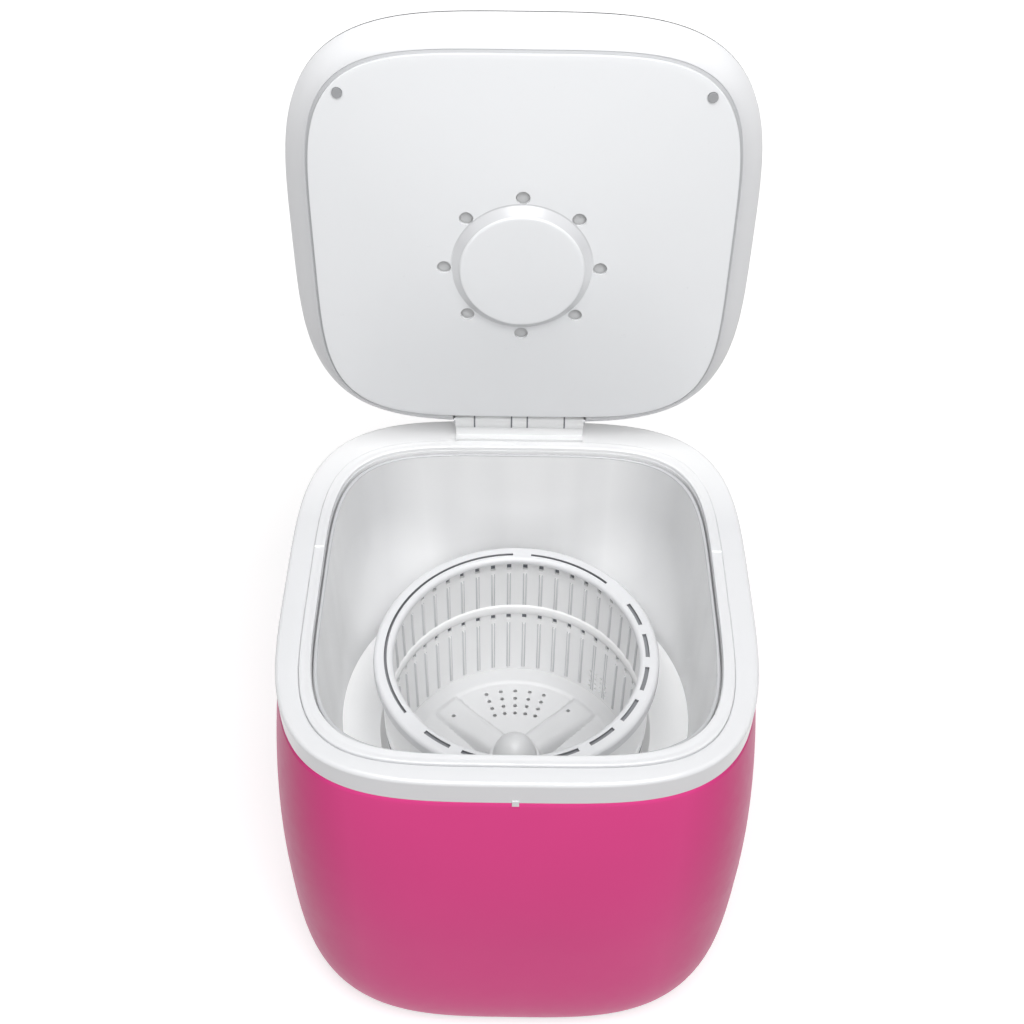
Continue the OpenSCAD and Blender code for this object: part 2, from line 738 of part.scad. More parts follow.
// The lower half of the tub, with a lip that laps over the foot of the wall
module tub_bowl() {
  lap_z = tub_seam_z + lap_h;
  color(soft_white)
    difference() {
      union() {
        loft([
          outline(tub_floor_r + tub_wall, tub_floor_r + tub_wall, 2, 0, tub_floor_z - tub_floor),
          outline(bowl_r + tub_wall, bowl_r + tub_wall, 2, 0, bowl_low_z),
          outline(bowl_r + tub_wall, bowl_r + tub_wall, 2, 0, bowl_top_z - 1),
          seam_ring(lap_gap + lap_t, tub_seam_z - lap_t),
          tub_ring(lap_z, lap_gap + lap_t),
          tub_ring(lap_z, lap_gap),
          seam_ring(lap_gap, tub_seam_z),
          seam_ring(-tub_wall, tub_seam_z),
          outline(bowl_r, bowl_r, 2, 0, bowl_top_z),
          outline(bowl_r, bowl_r, 2, 0, bowl_low_z),
          outline(lerp(tub_floor_r, bowl_r, 0.7), lerp(tub_floor_r, bowl_r, 0.7), 2, 0,
                  lerp(tub_floor_z, bowl_low_z, 0.3)),
          outline(tub_floor_r, tub_floor_r, 2, 0, tub_floor_z)
        ]);
        translate([0, 0, pad_z]) cylinder(r = pad_r, h = pad_h + bite);
      }
      translate([0, 0, pad_z - bite])
        cylinder(r = seal_r + fixed_gap, h = pad_h + tub_floor + 2 * bite);
      translate([-drain_x, drain_y, tub_floor_z - tub_floor - bite])
        cylinder(r = drain_port_r, h = tub_floor + 2 * bite);
      round_pattern(4, housing_pitch_r, 45)
        translate([0, 0, pad_z - bite])
          cylinder(r = bolt_r + fixed_gap, h = pad_h + bite - 1, $fn = 32);
    }
}

module drain_grille() {
  color(soft_white)
    translate([-drain_x, drain_y, 0])
      difference() {
        union() {
          translate([0, 0, tub_floor_z]) cylinder(r = drain_port_r + 5, h = 2);
          translate([0, 0, tub_floor_z - tub_floor])
            cylinder(r = drain_port_r - 0.2, h = tub_floor + 1);
        }
        translate([0, 0, tub_floor_z - tub_floor - bite]) cylinder(r = drain_bore_r, h = tub_floor);
        for (x = [-6 : 3 : 6])
          translate([x - 0.8, -5, tub_floor_z - 2]) cube([1.6, 10, 6]);
      }
}

module shaft_seal() {
  color(dark)
    tube(seal_r, shaft_r + run_gap, housing_top_z, tub_floor_z + 2 - housing_top_z);
}

module bearing_housing() {
  color(steel)
    difference() {
      union() {
        translate([0, 0, housing_z]) cylinder(r = barrel_r, h = housing_h);
        translate([0, 0, housing_top_z - housing_flange])
          cylinder(r = housing_flange_r, h = housing_flange);
        for (a = [0, 90])
          rotate(a)
            translate([-housing_flange_r + 6, -1.5, housing_top_z - 18])
              cube([2 * housing_flange_r - 12, 3, 16]);
      }
      translate([0, 0, housing_z - bite])
        cylinder(r = bush_r + fixed_gap, h = housing_h + 2 * bite);
      round_pattern(4, housing_pitch_r, 45)
        translate([0, 0, housing_top_z - housing_flange - 20])
          cylinder(r = bolt_r + fixed_gap, h = housing_flange + 21, $fn = 32);
    }
}

module bearing_bushes() {
  color(copper) {
    tube(bush_r, shaft_r + run_gap, housing_z, bush_h);
    tube(bush_r, shaft_r + run_gap, housing_top_z - housing_flange - bush_h, bush_h);
  }
}

module bearing_bolts() {
  color(steel)
    round_pattern(4, housing_pitch_r, 45)
      screw(bolt_r, housing_top_z - housing_flange, housing_flange + 6, bolt_r * 1.9, 2.5);
}

module base_pan() {
  color(dark)
    difference() {
      slab(outline(foot_hw - casing_wall - pass_gap, foot_hd - casing_wall - pass_gap,
                   foot_square, body_y, pan_z), pan_t);
      for (p = base_screw_spots)
        translate([p[0], p[1], pan_z - bite])
          cylinder(r = base_screw_r + fixed_gap, h = pan_t + 2 * bite, $fn = 32);
    }
}

module foot_ring() {
  out_w = body_w / 2 - foot_inset;
  out_d = body_d / 2 - foot_inset;
  color(dark)
    linear_extrude(foot_h)
      difference() {
        polygon([for (p = outline(out_w, out_d, foot_square, body_y, 0)) [p[0], p[1]]]);
        polygon([
          for (p = outline(out_w - foot_w, out_d - foot_w, foot_square, body_y, 0)) [p[0], p[1]]
        ]);
      }
}

module base_screws() {
  color(steel)
    for (p = base_screw_spots)
      translate([p[0], p[1], 0])
        screw(base_screw_r, pan_z, pan_t + pan_flange_t + 2, base_screw_r * 1.9, base_head_h - 0.5);
}

// The motor's corner posts, measured along and across the line from the drive axis
post_spots = [
  [motor_reach - post_half, post_half + 9],
  [motor_reach - post_half, -post_half - 9],
  [motor_reach + post_half - 8, post_half + 2],
  [motor_reach + post_half - 8, -post_half - 2]
];
plate_lap = post_r + 3;
motor_bolt_r = motor_r - 8;

module motor_plate() {
  color(steel)
    difference() {
      rotate(motor_angle)
        translate([0, 0, plate_z])
          linear_extrude(plate_t)
            polygon([
              [post_spots[0][0] - plate_lap, post_spots[0][1] + plate_lap],
              [post_spots[1][0] - plate_lap, post_spots[1][1] - plate_lap],
              [post_spots[3][0] + plate_lap, post_spots[3][1] - plate_lap],
              [post_spots[2][0] + plate_lap, post_spots[2][1] + plate_lap]
            ]);
      at_motor() {
        translate([0, 0, plate_z - bite]) cylinder(r = motor_shaft_r + 5, h = plate_t + 2 * bite);
        round_pattern(4, motor_bolt_r, 45)
          translate([0, 0, plate_z - bite])
            cylinder(r = bolt_r + fixed_gap, h = plate_t + 2 * bite, $fn = 32);
      }
      rotate(motor_angle)
        for (p = post_spots)
          translate([p[0], p[1], plate_z - bite])
            cylinder(r = bolt_r + fixed_gap, h = plate_t + 2 * bite, $fn = 32);
    }
}

module motor_posts() {
  color(steel)
    rotate(motor_angle)
      for (p = post_spots)
        translate([p[0], p[1], pan_top_z])
          difference() {
            cylinder(r = post_r, h = plate_z - pan_top_z, $fn = 48);
            translate([0, 0, plate_z - pan_top_z - 12])
              cylinder(r = bolt_r + fixed_gap, h = 12 + bite, $fn = 32);
          }
}

module motor_bolts() {
  color(steel) {
    at_motor()
      round_pattern(4, motor_bolt_r, 45)
        screw(bolt_r, plate_z, plate_t + shield_t - 1.5, bolt_r * 1.9, 2.5);
    rotate(motor_angle)
      for (p = post_spots)
        translate([p[0], p[1], 0])
          screw_down(bolt_r, plate_top_z, plate_t + 9, bolt_r * 1.9, 2.5);
  }
}

can_top_z = can_z + can_h;
register_h = 2.5;

module motor_shield() {
  color(steel)
    at_motor()
      difference() {
        union() {
          translate([0, 0, plate_top_z]) cylinder(r = motor_r, h = shield_t);
          translate([0, 0, can_z - bite])
            cylinder(r = motor_r - can_wall - fixed_gap, h = register_h + bite);
        }
        translate([0, 0, plate_top_z - bite])
          cylinder(r = motor_shaft_r + run_gap, h = shield_t + register_h + 2 * bite);
        round_pattern(4, motor_bolt_r, 45)
          translate([0, 0, plate_top_z - bite])
            cylinder(r = bolt_r + fixed_gap, h = shield_t, $fn = 32);
      }
}

module motor_can() {
  color(dark)
    at_motor()
      difference() {
        translate([0, 0, can_z]) cylinder(r = motor_r, h = can_h);
        translate([0, 0, can_z - bite]) cylinder(r = motor_r - can_wall, h = can_h - can_wall + bite);
        translate([0, 0, can_z]) cylinder(r = motor_shaft_r + run_gap, h = can_h + bite);
        round_pattern(10, motor_r, 18)
          translate([-can_wall - bite, -2, can_z + 12]) cube([2 * can_wall, 4, can_h - 22]);
      }
}

rotor_z = can_z + (can_h - can_wall) / 2 - rotor_h / 2;

module motor_stator() {
  stator_h = rotor_h - 2;
  stator_in_r = rotor_r + 0.8;
  color(copper)
    at_motor()
      translate([0, 0, rotor_z + 1])
        difference() {
          cylinder(r = motor_r - can_wall - fixed_gap, h = stator_h);
          translate([0, 0, -bite]) cylinder(r = stator_in_r, h = stator_h + 2 * bite);
          round_pattern(12, stator_in_r + 5, 15)
            translate([0, 0, -bite]) cylinder(r = 2.6, h = stator_h + 2 * bite, $fn = 32);
        }
}

belt_in_gap = pass_gap;
function belt_path(r_large, r_small) =
  let (b = acos((r_large - r_small) / motor_reach))
    concat(
      [for (i = [0 : 60]) let (a = lerp(b, 360 - b, i / 60)) [r_large * cos(a), r_large * sin(a)]],
      [for (i = [0 : 24]) let (a = lerp(-b, b, i / 24))
        [motor_reach + r_small * cos(a), r_small * sin(a)]]
    );

module drive_belt() {
  in = belt_in_gap;
  out = belt_in_gap + belt_t;
  color(dark)
    rotate(motor_angle)
      translate([0, 0, belt_z - belt_w / 2])
        linear_extrude(belt_w)
          difference() {
            polygon(belt_path(pulley_r + out, pinion_r + out));
            polygon(belt_path(pulley_r + in, pinion_r + in));
          }
}

capacitor_x = capacitor_in - body_w / 2;
capacitor_y = body_y - body_d / 2 + capacitor_back;

module capacitor() {
  color(soft_white)
    translate([capacitor_x, capacitor_y, 0]) {
      translate([0, 0, pan_top_z]) cylinder(r = capacitor_r, h = capacitor_h);
      for (x = [-5, 5])
        translate([x - 0.5, -3, pan_top_z + capacitor_h - bite]) cube([1, 6, 8 + bite]);
    }
}

module capacitor_clip() {
  color(steel)
    translate([capacitor_x, capacitor_y, 0]) {
      tube(capacitor_r + 2.5, capacitor_r + fixed_gap, pan_top_z, 14);
      for (m = [0, 1])
        mirror([m, 0, 0])
          difference() {
            translate([capacitor_r + 2, -6, pan_top_z]) cube([12, 12, 2]);
            translate([capacitor_r + 9, 0, pan_top_z - bite]) cylinder(r = bolt_r, h = 4, $fn = 32);
          }
    }
}

// A tube along Y from one place to another
module tube_y(r, r_in, y, length) {
  translate([0, y, 0])
    rotate([-90, 0, 0])
      difference() {
        cylinder(r = r, h = length);
        translate([0, 0, -bite]) cylinder(r = r_in, h = length + 2 * bite);
      }
}

spigot_in_y = pad_y - 22;
elbow_end_y = pad_y - 8;
elbow_flange_t = 3;

module elbow_run(r) {
  translate([0, drain_y, drain_z + elbow_r])
    cylinder(r = r, h = tub_floor_z - tub_floor - drain_z - elbow_r);
  translate([0, drain_y + elbow_r, drain_z + elbow_r])
    rotate([0, 90, 0])
      rotate([0, 0, -90])
        rotate_extrude(angle = 90) translate([elbow_r, 0]) circle(r = r, $fn = 64);
  translate([0, drain_y + elbow_r, drain_z])
    rotate([-90, 0, 0]) cylinder(r = r, h = elbow_end_y - drain_y - elbow_r);
}

module drain_elbow() {
  under_z = tub_floor_z - tub_floor;
  color(dark)
    translate([-drain_x, 0, 0])
      difference() {
        union() {
          elbow_run(spigot_r);
          translate([0, drain_y, under_z - elbow_flange_t])
            cylinder(r = spigot_r + 4, h = elbow_flange_t);
        }
        elbow_run(drain_bore_r);
        translate([0, drain_y, under_z - bite]) cylinder(r = drain_bore_r, h = 2 * bite);
        translate([0, elbow_end_y - bite, drain_z])
          rotate([-90, 0, 0]) cylinder(r = drain_bore_r, h = 2 * bite);
      }
}

module drain_spigot() {
  color(soft_white)
    translate([-drain_x, 0, drain_z]) {
      tube_y(spigot_r + 2, spigot_r + fixed_gap, spigot_in_y, elbow_end_y - spigot_in_y);
      tube_y(spigot_r + 2, drain_bore_r, elbow_end_y, pad_y - elbow_end_y);
      tube_y(port_flange_r, drain_bore_r, pad_y, 4);
      tube_y(spigot_r, drain_bore_r, pad_y + 4, spigot_len);
    }
}

module cord_gland() {
  color(dark)
    translate([gland_x, 0, gland_z])
      rotate([-90, 0, 0])
        rotate_extrude()
          polygon([
            [gland_bore_r + 1.4, port_in_y - 12],
            [gland_body_r, port_in_y - 12],
            [gland_body_r, pad_y],
            [gland_body_r + 4, pad_y],
            [gland_body_r + 4, pad_y + 3],
            [gland_body_r + 2, pad_y + 3],
            [gland_body_r + 2, pad_y + 12],
            [gland_body_r + 0.6, pad_y + 15],
            [gland_bore_r + 1, pad_y + 16.5],
            [gland_bore_r, pad_y + 16.5],
            [gland_bore_r, pad_y + 1.5],
            [gland_bore_r + 1.4, pad_y + 0.5]
          ]);
}

module gland_nut() {
  color(dark)
    translate([gland_x, port_in_y, gland_z])
      rotate([90, 0, 0])
        difference() {
          cylinder(r = gland_body_r + 4, h = 7, $fn = 6);
          translate([0, 0, -bite]) cylinder(r = gland_body_r + fixed_gap, h = 7 + 2 * bite);
        }
}

terminal_back = 73;

module terminal_box() {
  color(white)
    translate([gland_x - 25, port_in_y - terminal_back, pan_top_z])
      difference() {
        cube([50, 32, 26]);
        translate([2, 2, 2]) cube([46, 28, 30]);
        translate([25, 26, 13]) rotate([-90, 0, 0]) cylinder(r = 5, h = 12);
      }
}

module reed_switch() {
  color(dark)
    translate([-11, body_y - body_d / 2 + collar_wall + 5, rim_z - collar_top - 6])
      cube([22, 8, 6]);
}

// Hinge: the bracket stands on the collar behind the opening
bracket_y = opening_mid + opening_d / 2 + seal_w + 0.4;
bracket_d = body_y + body_d / 2 - 3.5 - bracket_y;
bracket_t = 2.7;
bracket_top_z = rim_z + pass_gap + bracket_t;
bracket_screw_y = bracket_y + bracket_d - 5.3;
bracket_screw_x = hinge_half - outer_lug / 2;
bracket_screw_spots = [
  for (f = [-1, -0.48, 0.48, 1]) [f * bracket_screw_x, bracket_screw_y]
];
knuckle_gap = pass_gap;
knuckle_in = mid_lug / 2 + knuckle_gap;
knuckle_out = hinge_half - outer_lug - knuckle_gap;

// A cylinder along X between two places
module rod_x(r, x0, x1) {
  translate([x0, 0, 0]) rotate([0, 90, 0]) cylinder(r = r, h = x1 - x0, $fn = 64);
}

module hinge_lug(x0, x1) {
  translate([0, hinge_y, hinge_z]) rod_x(barrel_out_r, x0, x1);
  translate([x0, hinge_y - web_front, bracket_top_z - bite])
    cube([x1 - x0, web_front + barrel_out_r, hinge_z - bracket_top_z + bite]);
}

// The low wall that joins the lugs, clear of the arms' barrels
module hinge_web() {
  web_h = hinge_z - barrel_out_r - pass_gap - bracket_top_z;
  translate([-hinge_half, hinge_y - web_front, bracket_top_z - bite])
    cube([2 * hinge_half, web_front + barrel_out_r, web_h + bite]);
}

module hinge_bracket() {
  color(white)
    difference() {
      union() {
        translate([-hinge_half, bracket_y, rim_z + pass_gap])
          cube([2 * hinge_half, bracket_d, bracket_t]);
        hinge_lug(-hinge_half, -hinge_half + outer_lug);
        hinge_lug(-mid_lug / 2, mid_lug / 2);
        hinge_lug(hinge_half - outer_lug, hinge_half);
        hinge_web();
      }
      translate([0, hinge_y, hinge_z]) rod_x(pin_r + fixed_gap, -hinge_half - bite, hinge_half + bite);
      for (p = bracket_screw_spots)
        translate([p[0], p[1], rim_z - bite])
          cylinder(r = bolt_r + fixed_gap, h = 6, $fn = 32);
    }
}

module hinge_pin() {
  color(steel)
    translate([0, hinge_y, hinge_z]) {
      rod_x(pin_r, -hinge_half, hinge_half);
      rod_x(pin_r + 1.3, -hinge_half - 1.5, -hinge_half);
      rod_x(pin_r + 1.3, hinge_half, hinge_half + 1.5);
    }
}

module hinge_screws() {
  color(steel)
    for (p = bracket_screw_spots)
      translate([p[0], p[1], 0])
        screw_down(bolt_r, bracket_top_z, bracket_t + collar_top + 2, bolt_r * 1.7, 2);
}

notch_half = hinge_half + 1.8;
hinge_notch_y = opening_mid + panel_d / 2 + 1;
notch_cut = 60;

module lid_top() {
  color(white)
    on_lid()
      difference() {
        loft(concat(
          [for (f = [1, 0.72, 0.42, 0.18, 0]) top_ring(f, 0, top_z(f) - lid_wall)],
          [
            for (a = [58, 30])
              lid_ring(-lid_wall - (edge_reach - lid_wall) * (1 - cos(a)),
                       seam_z + (edge_h - lid_wall) * sin(a))
          ],
          [lid_ring(-lid_wall, seam_z + seam_gap)],
          [lid_ring(0, seam_z + seam_gap)],
          [for (a = [22, 45, 67]) lid_ring(-edge_reach * (1 - cos(a)), seam_z + edge_h * sin(a))],
          [for (f = [0, 0.18, 0.42, 0.72, 1]) top_ring(f, 0, top_z(f))]
        ));
        translate([0, 0, lid_top_z - 2 * lid_wall])
          cylinder(r = timer_shaft_r + pass_gap, h = 3 * lid_wall, $fn = 48);
        translate([-notch_half, hinge_y - 11, seam_z - bite])
          cube([2 * notch_half, notch_cut, barrel_out_r - 5.5 + bite + 2.7]);
      }
}

module lid_rim() {
  color(white)
    on_lid()
      difference() {
        loop(concat(
          [for (a = [90, 72, 56, 42, 29, 17, 0]) rim_ring(rim_in(a), seam_z - rim_low(a))],
          [
            rim_ring(0.16, seam_z - 0.3),
            rim_ring(0.32, seam_z - 4.5),
            rim_ring(0.72, seam_z - 10.5),
            rim_ring(1.05, seam_z - rim_drop + 1.5)
          ]
        ));
        translate([-notch_half, hinge_notch_y, seam_z - rim_drop - bite])
          cube([2 * notch_half, notch_cut, rim_drop + 2 * bite]);
      }
}

panel_side_h = 14;
boss_foot_r = vent_ring_r - vent_r - 0.6;
vent_z = face_z - panel_fall;
disc_z = vent_z - disc_out;
function panel_z(f) = face_z - panel_fall * f;

module panel_shell() {
  w = panel_wall;
  loft(concat(
    [outline(disc_r, disc_r, 2, 0, disc_z)],
    [outline(boss_foot_r, boss_foot_r, 2, 0, vent_z)],
    [for (f = [1, 0.75, 0.5, 0.25]) panel_ring(f, 0, panel_z(f))],
    [panel_ring(0, -1.2, face_z)],
    [panel_ring(0, 0, face_z + 1.2)],
    [panel_ring(0, 0, face_z + panel_side_h)],
    [panel_ring(0, -w, face_z + panel_side_h)],
    [panel_ring(0, -w, face_z + w)],
    [for (f = [0.25, 0.5, 0.75, 1]) panel_ring(f, 0, panel_z(f) + w)],
    [outline(boss_foot_r - w / 2, boss_foot_r - w / 2, 2, 0, vent_z + w)],
    [outline(disc_r - w / 2, disc_r - w / 2, 2, 0, disc_z + w)]
  ));
}

lid_screw_seat_z = face_z + 0.6;

module lid_panel() {
  color(white)
    on_lid()
      difference() {
        panel_shell();
        round_pattern(vent_count, vent_ring_r, 90)
          translate([0, 0, vent_z - bite]) cylinder(r = vent_r, h = panel_wall + 2 * bite, $fn = 48);
        for (x = [-lid_screw_x, lid_screw_x])
          translate([x, lid_mid - lid_screw_y, 0]) {
            translate([0, 0, face_z - 4])
              cylinder(r = lid_head_r + 0.5, h = lid_screw_seat_z - face_z + 4, $fn = 48);
            translate([0, 0, face_z]) cylinder(r = lid_screw_r + fixed_gap, h = 6, $fn = 32);
          }
      }
}

boss_z = face_z + panel_wall + 0.1;

module lid_frame() {
  color(soft_white)
    on_lid()
      difference() {
        union() {
          slab(rim_ring(0.28, frame_z), frame_t);
          for (x = [-lid_screw_x, lid_screw_x])
            translate([x, lid_mid - lid_screw_y, boss_z])
              cylinder(r = lid_boss_r, h = frame_z - boss_z + bite, $fn = 48);
        }
        translate([-notch_half, hinge_y - 12, frame_z - bite])
          cube([2 * notch_half, notch_cut, frame_t + 2 * bite]);
        translate([0, 0, frame_z - bite])
          cylinder(r = timer_shaft_r + pass_gap, h = frame_t + 2 * bite, $fn = 48);
        for (x = [-lid_screw_x, lid_screw_x])
          translate([x, lid_mid - lid_screw_y, boss_z - bite])
            cylinder(r = lid_screw_r + fixed_gap, h = 12, $fn = 32);
        for (x = [-arm_mid, arm_mid], y = arm_screw_ys)
          translate([x, y, frame_z - bite])
            cylinder(r = bolt_r + fixed_gap, h = frame_t + 2 * bite, $fn = 32);
      }
}

arm_mid = (knuckle_in + knuckle_out) / 2;
arm_screw_ys = [hinge_y - arm_screw_far, hinge_y - arm_screw_near];

module hinge_arms() {
  color(white)
    on_lid()
      for (m = [0, 1])
        mirror([m, 0, 0])
          difference() {
            union() {
              translate([0, hinge_y, hinge_z]) rod_x(barrel_out_r - pass_gap, knuckle_in, knuckle_out);
              translate([knuckle_in, hinge_y - arm_len, frame_z - arm_t])
                cube([knuckle_out - knuckle_in, arm_len, arm_t]);
            }
            translate([0, hinge_y, hinge_z])
              rod_x(pin_r + run_gap, knuckle_in - bite, knuckle_out + bite);
            for (y = arm_screw_ys)
              translate([arm_mid, y, frame_z - arm_t - bite])
                cylinder(r = bolt_r + fixed_gap, h = arm_t + 2 * bite, $fn = 32);
          }
}

module arm_screws() {
  color(steel)
    on_lid()
      for (x = [-arm_mid, arm_mid], y = arm_screw_ys)
        translate([x, y, 0])
          screw(bolt_r, frame_z - arm_t, arm_t + frame_t, bolt_r * 1.7, 2);
}

module lid_screws() {
  color(steel)
    on_lid()
      for (x = [-lid_screw_x, lid_screw_x])
        translate([x, lid_mid - lid_screw_y, 0])
          screw(lid_screw_r, lid_screw_seat_z, lid_screw_len, lid_head_r, 2);
}

module timer_body() {
  color(dark)
    on_lid()
      translate([0, 0, frame_z - timer_h])
        difference() {
          cylinder(r = timer_r, h = timer_h);
          translate([0, 0, 6]) cylinder(r = timer_shaft_r + run_gap, h = timer_h);
        }
}

module dial_plate() {
  color(soft_white)
    on_lid()
      tube(dial_r, timer_shaft_r + pass_gap, lid_top_z, dial_t);
}

knob_z = lid_top_z + dial_t + pass_gap;

module timer_knob() {
  color(white)
    on_lid()
      difference() {
        union() {
          rotate_extrude()
            polygon([
              [0, knob_z],
              [knob_r, knob_z],
              [knob_r, knob_z + 2],
              [knob_r - 2, knob_z + 4],
              [knob_r - 4, knob_z + knob_h - 2],
              [knob_r - 6, knob_z + knob_h],
              [0, knob_z + knob_h]
            ]);
          round_pattern(12, knob_r - 3.4)
            translate([0, 0, knob_z]) cylinder(r = 2, h = knob_h - 3, $fn = 24);
          translate([-1.2, 6, knob_z + knob_h - bite]) cube([2.4, 13, bite + 0.8]);
        }
        translate([0, 0, knob_z - bite])
          cylinder(r = timer_shaft_r + fixed_gap, h = knob_h - 4 + bite, $fn = 48);
      }
}

module timer_shaft() {
  color(steel)
    on_lid()
      translate([0, 0, frame_z - timer_h + 8])
        cylinder(r = timer_shaft_r, h = knob_z + knob_h - 5 - frame_z + timer_h - 8, $fn = 48);
}

module lid_magnet() {
  color(steel)
    on_lid()
      translate([-10, lid_mid - panel_d / 2 + 8, face_z + panel_wall + 0.1])
        cube([20, 8, 4]);
}

module drive_shaft() {
  color(steel)
    difference() {
      translate([0, 0, shaft_foot_z]) cylinder(r = shaft_r, h = shaft_top_z - shaft_foot_z);
      translate([0, 0, shaft_top_z - 12]) cylinder(r = bolt_r + fixed_gap, h = 12 + bite, $fn = 32);
    }
}

// A grooved wheel: where the belt runs, its hub and its bore
module wheel(r, lip, hub_r, hub_low, hub_high, bore, web) {
  low = belt_z - belt_w / 2 - 0.5;
  high = belt_z + belt_w / 2 + 0.5;
  in_r = r - 5;
  rotate_extrude()
    polygon(concat(
      [[bore, hub_low], [hub_r, hub_low]],
      web ? [
        [hub_r, belt_z - 2], [in_r, belt_z - 2], [in_r, low - pulley_side + 0.5]
      ] : [[hub_r, low - 1.9]],
      [
        [r + lip, low - 1.9], [r + lip, low - 0.8], [r, low],
        [r, high], [r + lip, high + 0.8], [r + lip, high + 1.9]
      ],
      web ? [
        [in_r, high + 1.9], [in_r, belt_z + 2], [hub_r, belt_z + 2]
      ] : [[hub_r, high + 1.9]],
      [[hub_r, hub_high], [bore, hub_high]]
    ));
}

module large_pulley() {
  color(steel)
    difference() {
      wheel(pulley_r, pulley_lip, pulley_hub_r, pulley_hub_z, housing_z - pass_gap,
            shaft_r + fixed_gap, true);
      round_pattern(6, (pulley_r - 5 + pulley_hub_r) / 2)
        translate([0, 0, belt_z - 5]) cylinder(r = (pulley_r - 5 - pulley_hub_r) / 2 - 6, h = 10);
    }
}

module pulley_nut() {
  color(steel)
    translate([0, 0, nut_z])
      difference() {
        cylinder(r = shaft_r + 5, h = nut_h, $fn = 6);
        translate([0, 0, -bite]) cylinder(r = shaft_r + fixed_gap, h = nut_h + 2 * bite);
      }
}

module pulsator() {
  color(soft_white)
    difference() {
      union() {
        translate([0, 0, pulsator_z]) cylinder(r = pulsator_r, h = pulsator_t);
        translate([0, 0, pulsator_z])
          cylinder(r = pulsator_hub_r, h = basket_z - pass_gap - pulsator_z);
        for (a = [0, 60, 120])
          rotate(a)
            translate([-pulsator_r + 4, -4, pulsator_z + pulsator_t - bite])
              cube([2 * pulsator_r - 8, 8, pulsator_vane + bite]);
        translate([-drive_square / 2, -drive_square / 2, pulsator_z])
          cube([drive_square, drive_square, boss_top_z - pulsator_z]);
      }
      translate([0, 0, pulsator_z - bite])
        cylinder(r = shaft_r + fixed_gap, h = shaft_top_z - pulsator_z + bite);
      translate([0, 0, shaft_top_z - bite])
        cylinder(r = bolt_r + fixed_gap, h = boss_top_z - shaft_top_z + 2 * bite, $fn = 32);
    }
}

module pulsator_screw() {
  color(steel)
    screw_down(bolt_r, boss_top_z, pulsator_screw_len, 2 * bolt_r, 2.4);
}

wall_in_r = wall_r - wall_t;
ring_low_z = ring_z - ring_h;
band_top_z = band_mid_z + mid_band / 2;
band_low_z = band_mid_z - mid_band / 2;
ledge_h = 1.5;
// Top of each row of holes, and the height at which the ribs below it end
hole_rows = [
  [ring_low_z - 0.5, band_top_z - 0.5],
  [band_low_z - 0.5, basket_floor_z + ledge_h + 3]
];
screen_rows = [10, 17, 24, 31];

module basket_wall() {
  color(white)
    difference() {
      union() {
        tube(wall_r, wall_in_r, basket_z, ring_low_z - basket_z);
        tube(wall_r + 1, wall_in_r - 1.5, band_low_z, mid_band);
        tube(wall_r + 1, wall_in_r, basket_z, 4);
        for (row = hole_rows)
          wall_ribs(row[1], row[0] - hole_h - rib_gap);
      }
      for (i = [0 : hole_count - 1], row = hole_rows)
        rotate((i + 0.5) * 360 / hole_count)
          translate([wall_in_r - 1, -hole_w / 2, row[0] - hole_h])
            cube([wall_t + 3, hole_w, hole_h]);
      for (c = [-1.5 : 1.5], z = screen_rows)
        rotate(45 + 3.4 * c)
          translate([wall_in_r - 1, 0, basket_floor_z + z])
            rotate([0, 90, 0]) cylinder(r = screen_hole_r, h = wall_t + 3, $fn = 24);
    }
}

// Upright ribs on the inside of the wall, one below each hole, but not over the screen
module wall_ribs(low, high) {
  for (i = [0 : hole_count - 1])
    let (a = (i + 0.5) * 360 / hole_count)
      if (low > band_mid_z || abs(a - 45) > 9)
        rotate(a)
          translate([wall_in_r - rib_out, -rib_w / 2, low])
            cube([rib_out + wall_t / 2, rib_w, high - low]);
}

hub_top_z = boss_top_z + 3;

module basket_base() {
  floor_r = wall_in_r - fixed_gap;
  color(white)
    difference() {
      union() {
        rotate_extrude()
          polygon([
            [0, basket_z],
            [floor_r, basket_z],
            [floor_r, basket_floor_z + ledge_h],
            [ledge_r + 3, basket_floor_z + ledge_h],
            [ledge_r, basket_floor_z],
            [0, basket_floor_z]
          ]);
        translate([0, 0, basket_z]) cylinder(r = hub_r, h = hub_top_z - basket_z);
        for (a = [45 : 90 : 315])
          rotate(a) basket_vane();
      }
      drive_hole();
      floor_holes();
    }
}

module basket_vane() {
  translate([0, vane_w / 2, 0])
    rotate([90, 0, 0])
      linear_extrude(vane_w)
        polygon([
          [0, basket_floor_z - bite],
          [0, hub_top_z],
          [hub_r + 1, hub_top_z],
          [hub_r + 1, basket_floor_z + vane_h],
          [0.6 * vane_end, basket_floor_z + 0.6 * vane_h],
          [0.9 * vane_end, basket_floor_z + 0.3 * vane_h],
          [vane_end, basket_floor_z + ledge_h],
          [vane_end, basket_floor_z - bite]
        ]);
}

module drive_hole() {
  side = drive_square + 2 * pass_gap;
  translate([-side / 2, -side / 2, basket_z - bite])
    cube([side, side, hub_top_z - basket_z + 2 * bite]);
}

// Four fans of drain holes between the vanes, and one hole through each vane
module floor_holes() {
  for (a = [0 : 90 : 270]) {
    for (c = [-2 : 2], k = [0 : 3])
      rotate(a + 9.5 * c)
        translate([fan_r + fan_step * k, 0, basket_z - bite])
          cylinder(r = drain_hole_r, h = basket_floor + 2 * bite, $fn = 24);
    rotate(a + 49)
      translate([0.78 * vane_end, 0, basket_z - bite])
        cylinder(r = drain_hole_r, h = basket_floor + vane_h + 2 * bite, $fn = 24);
  }
}

groove_arcs = [[92, 216], [44.5, 83.6]];
pocket_count = 9;

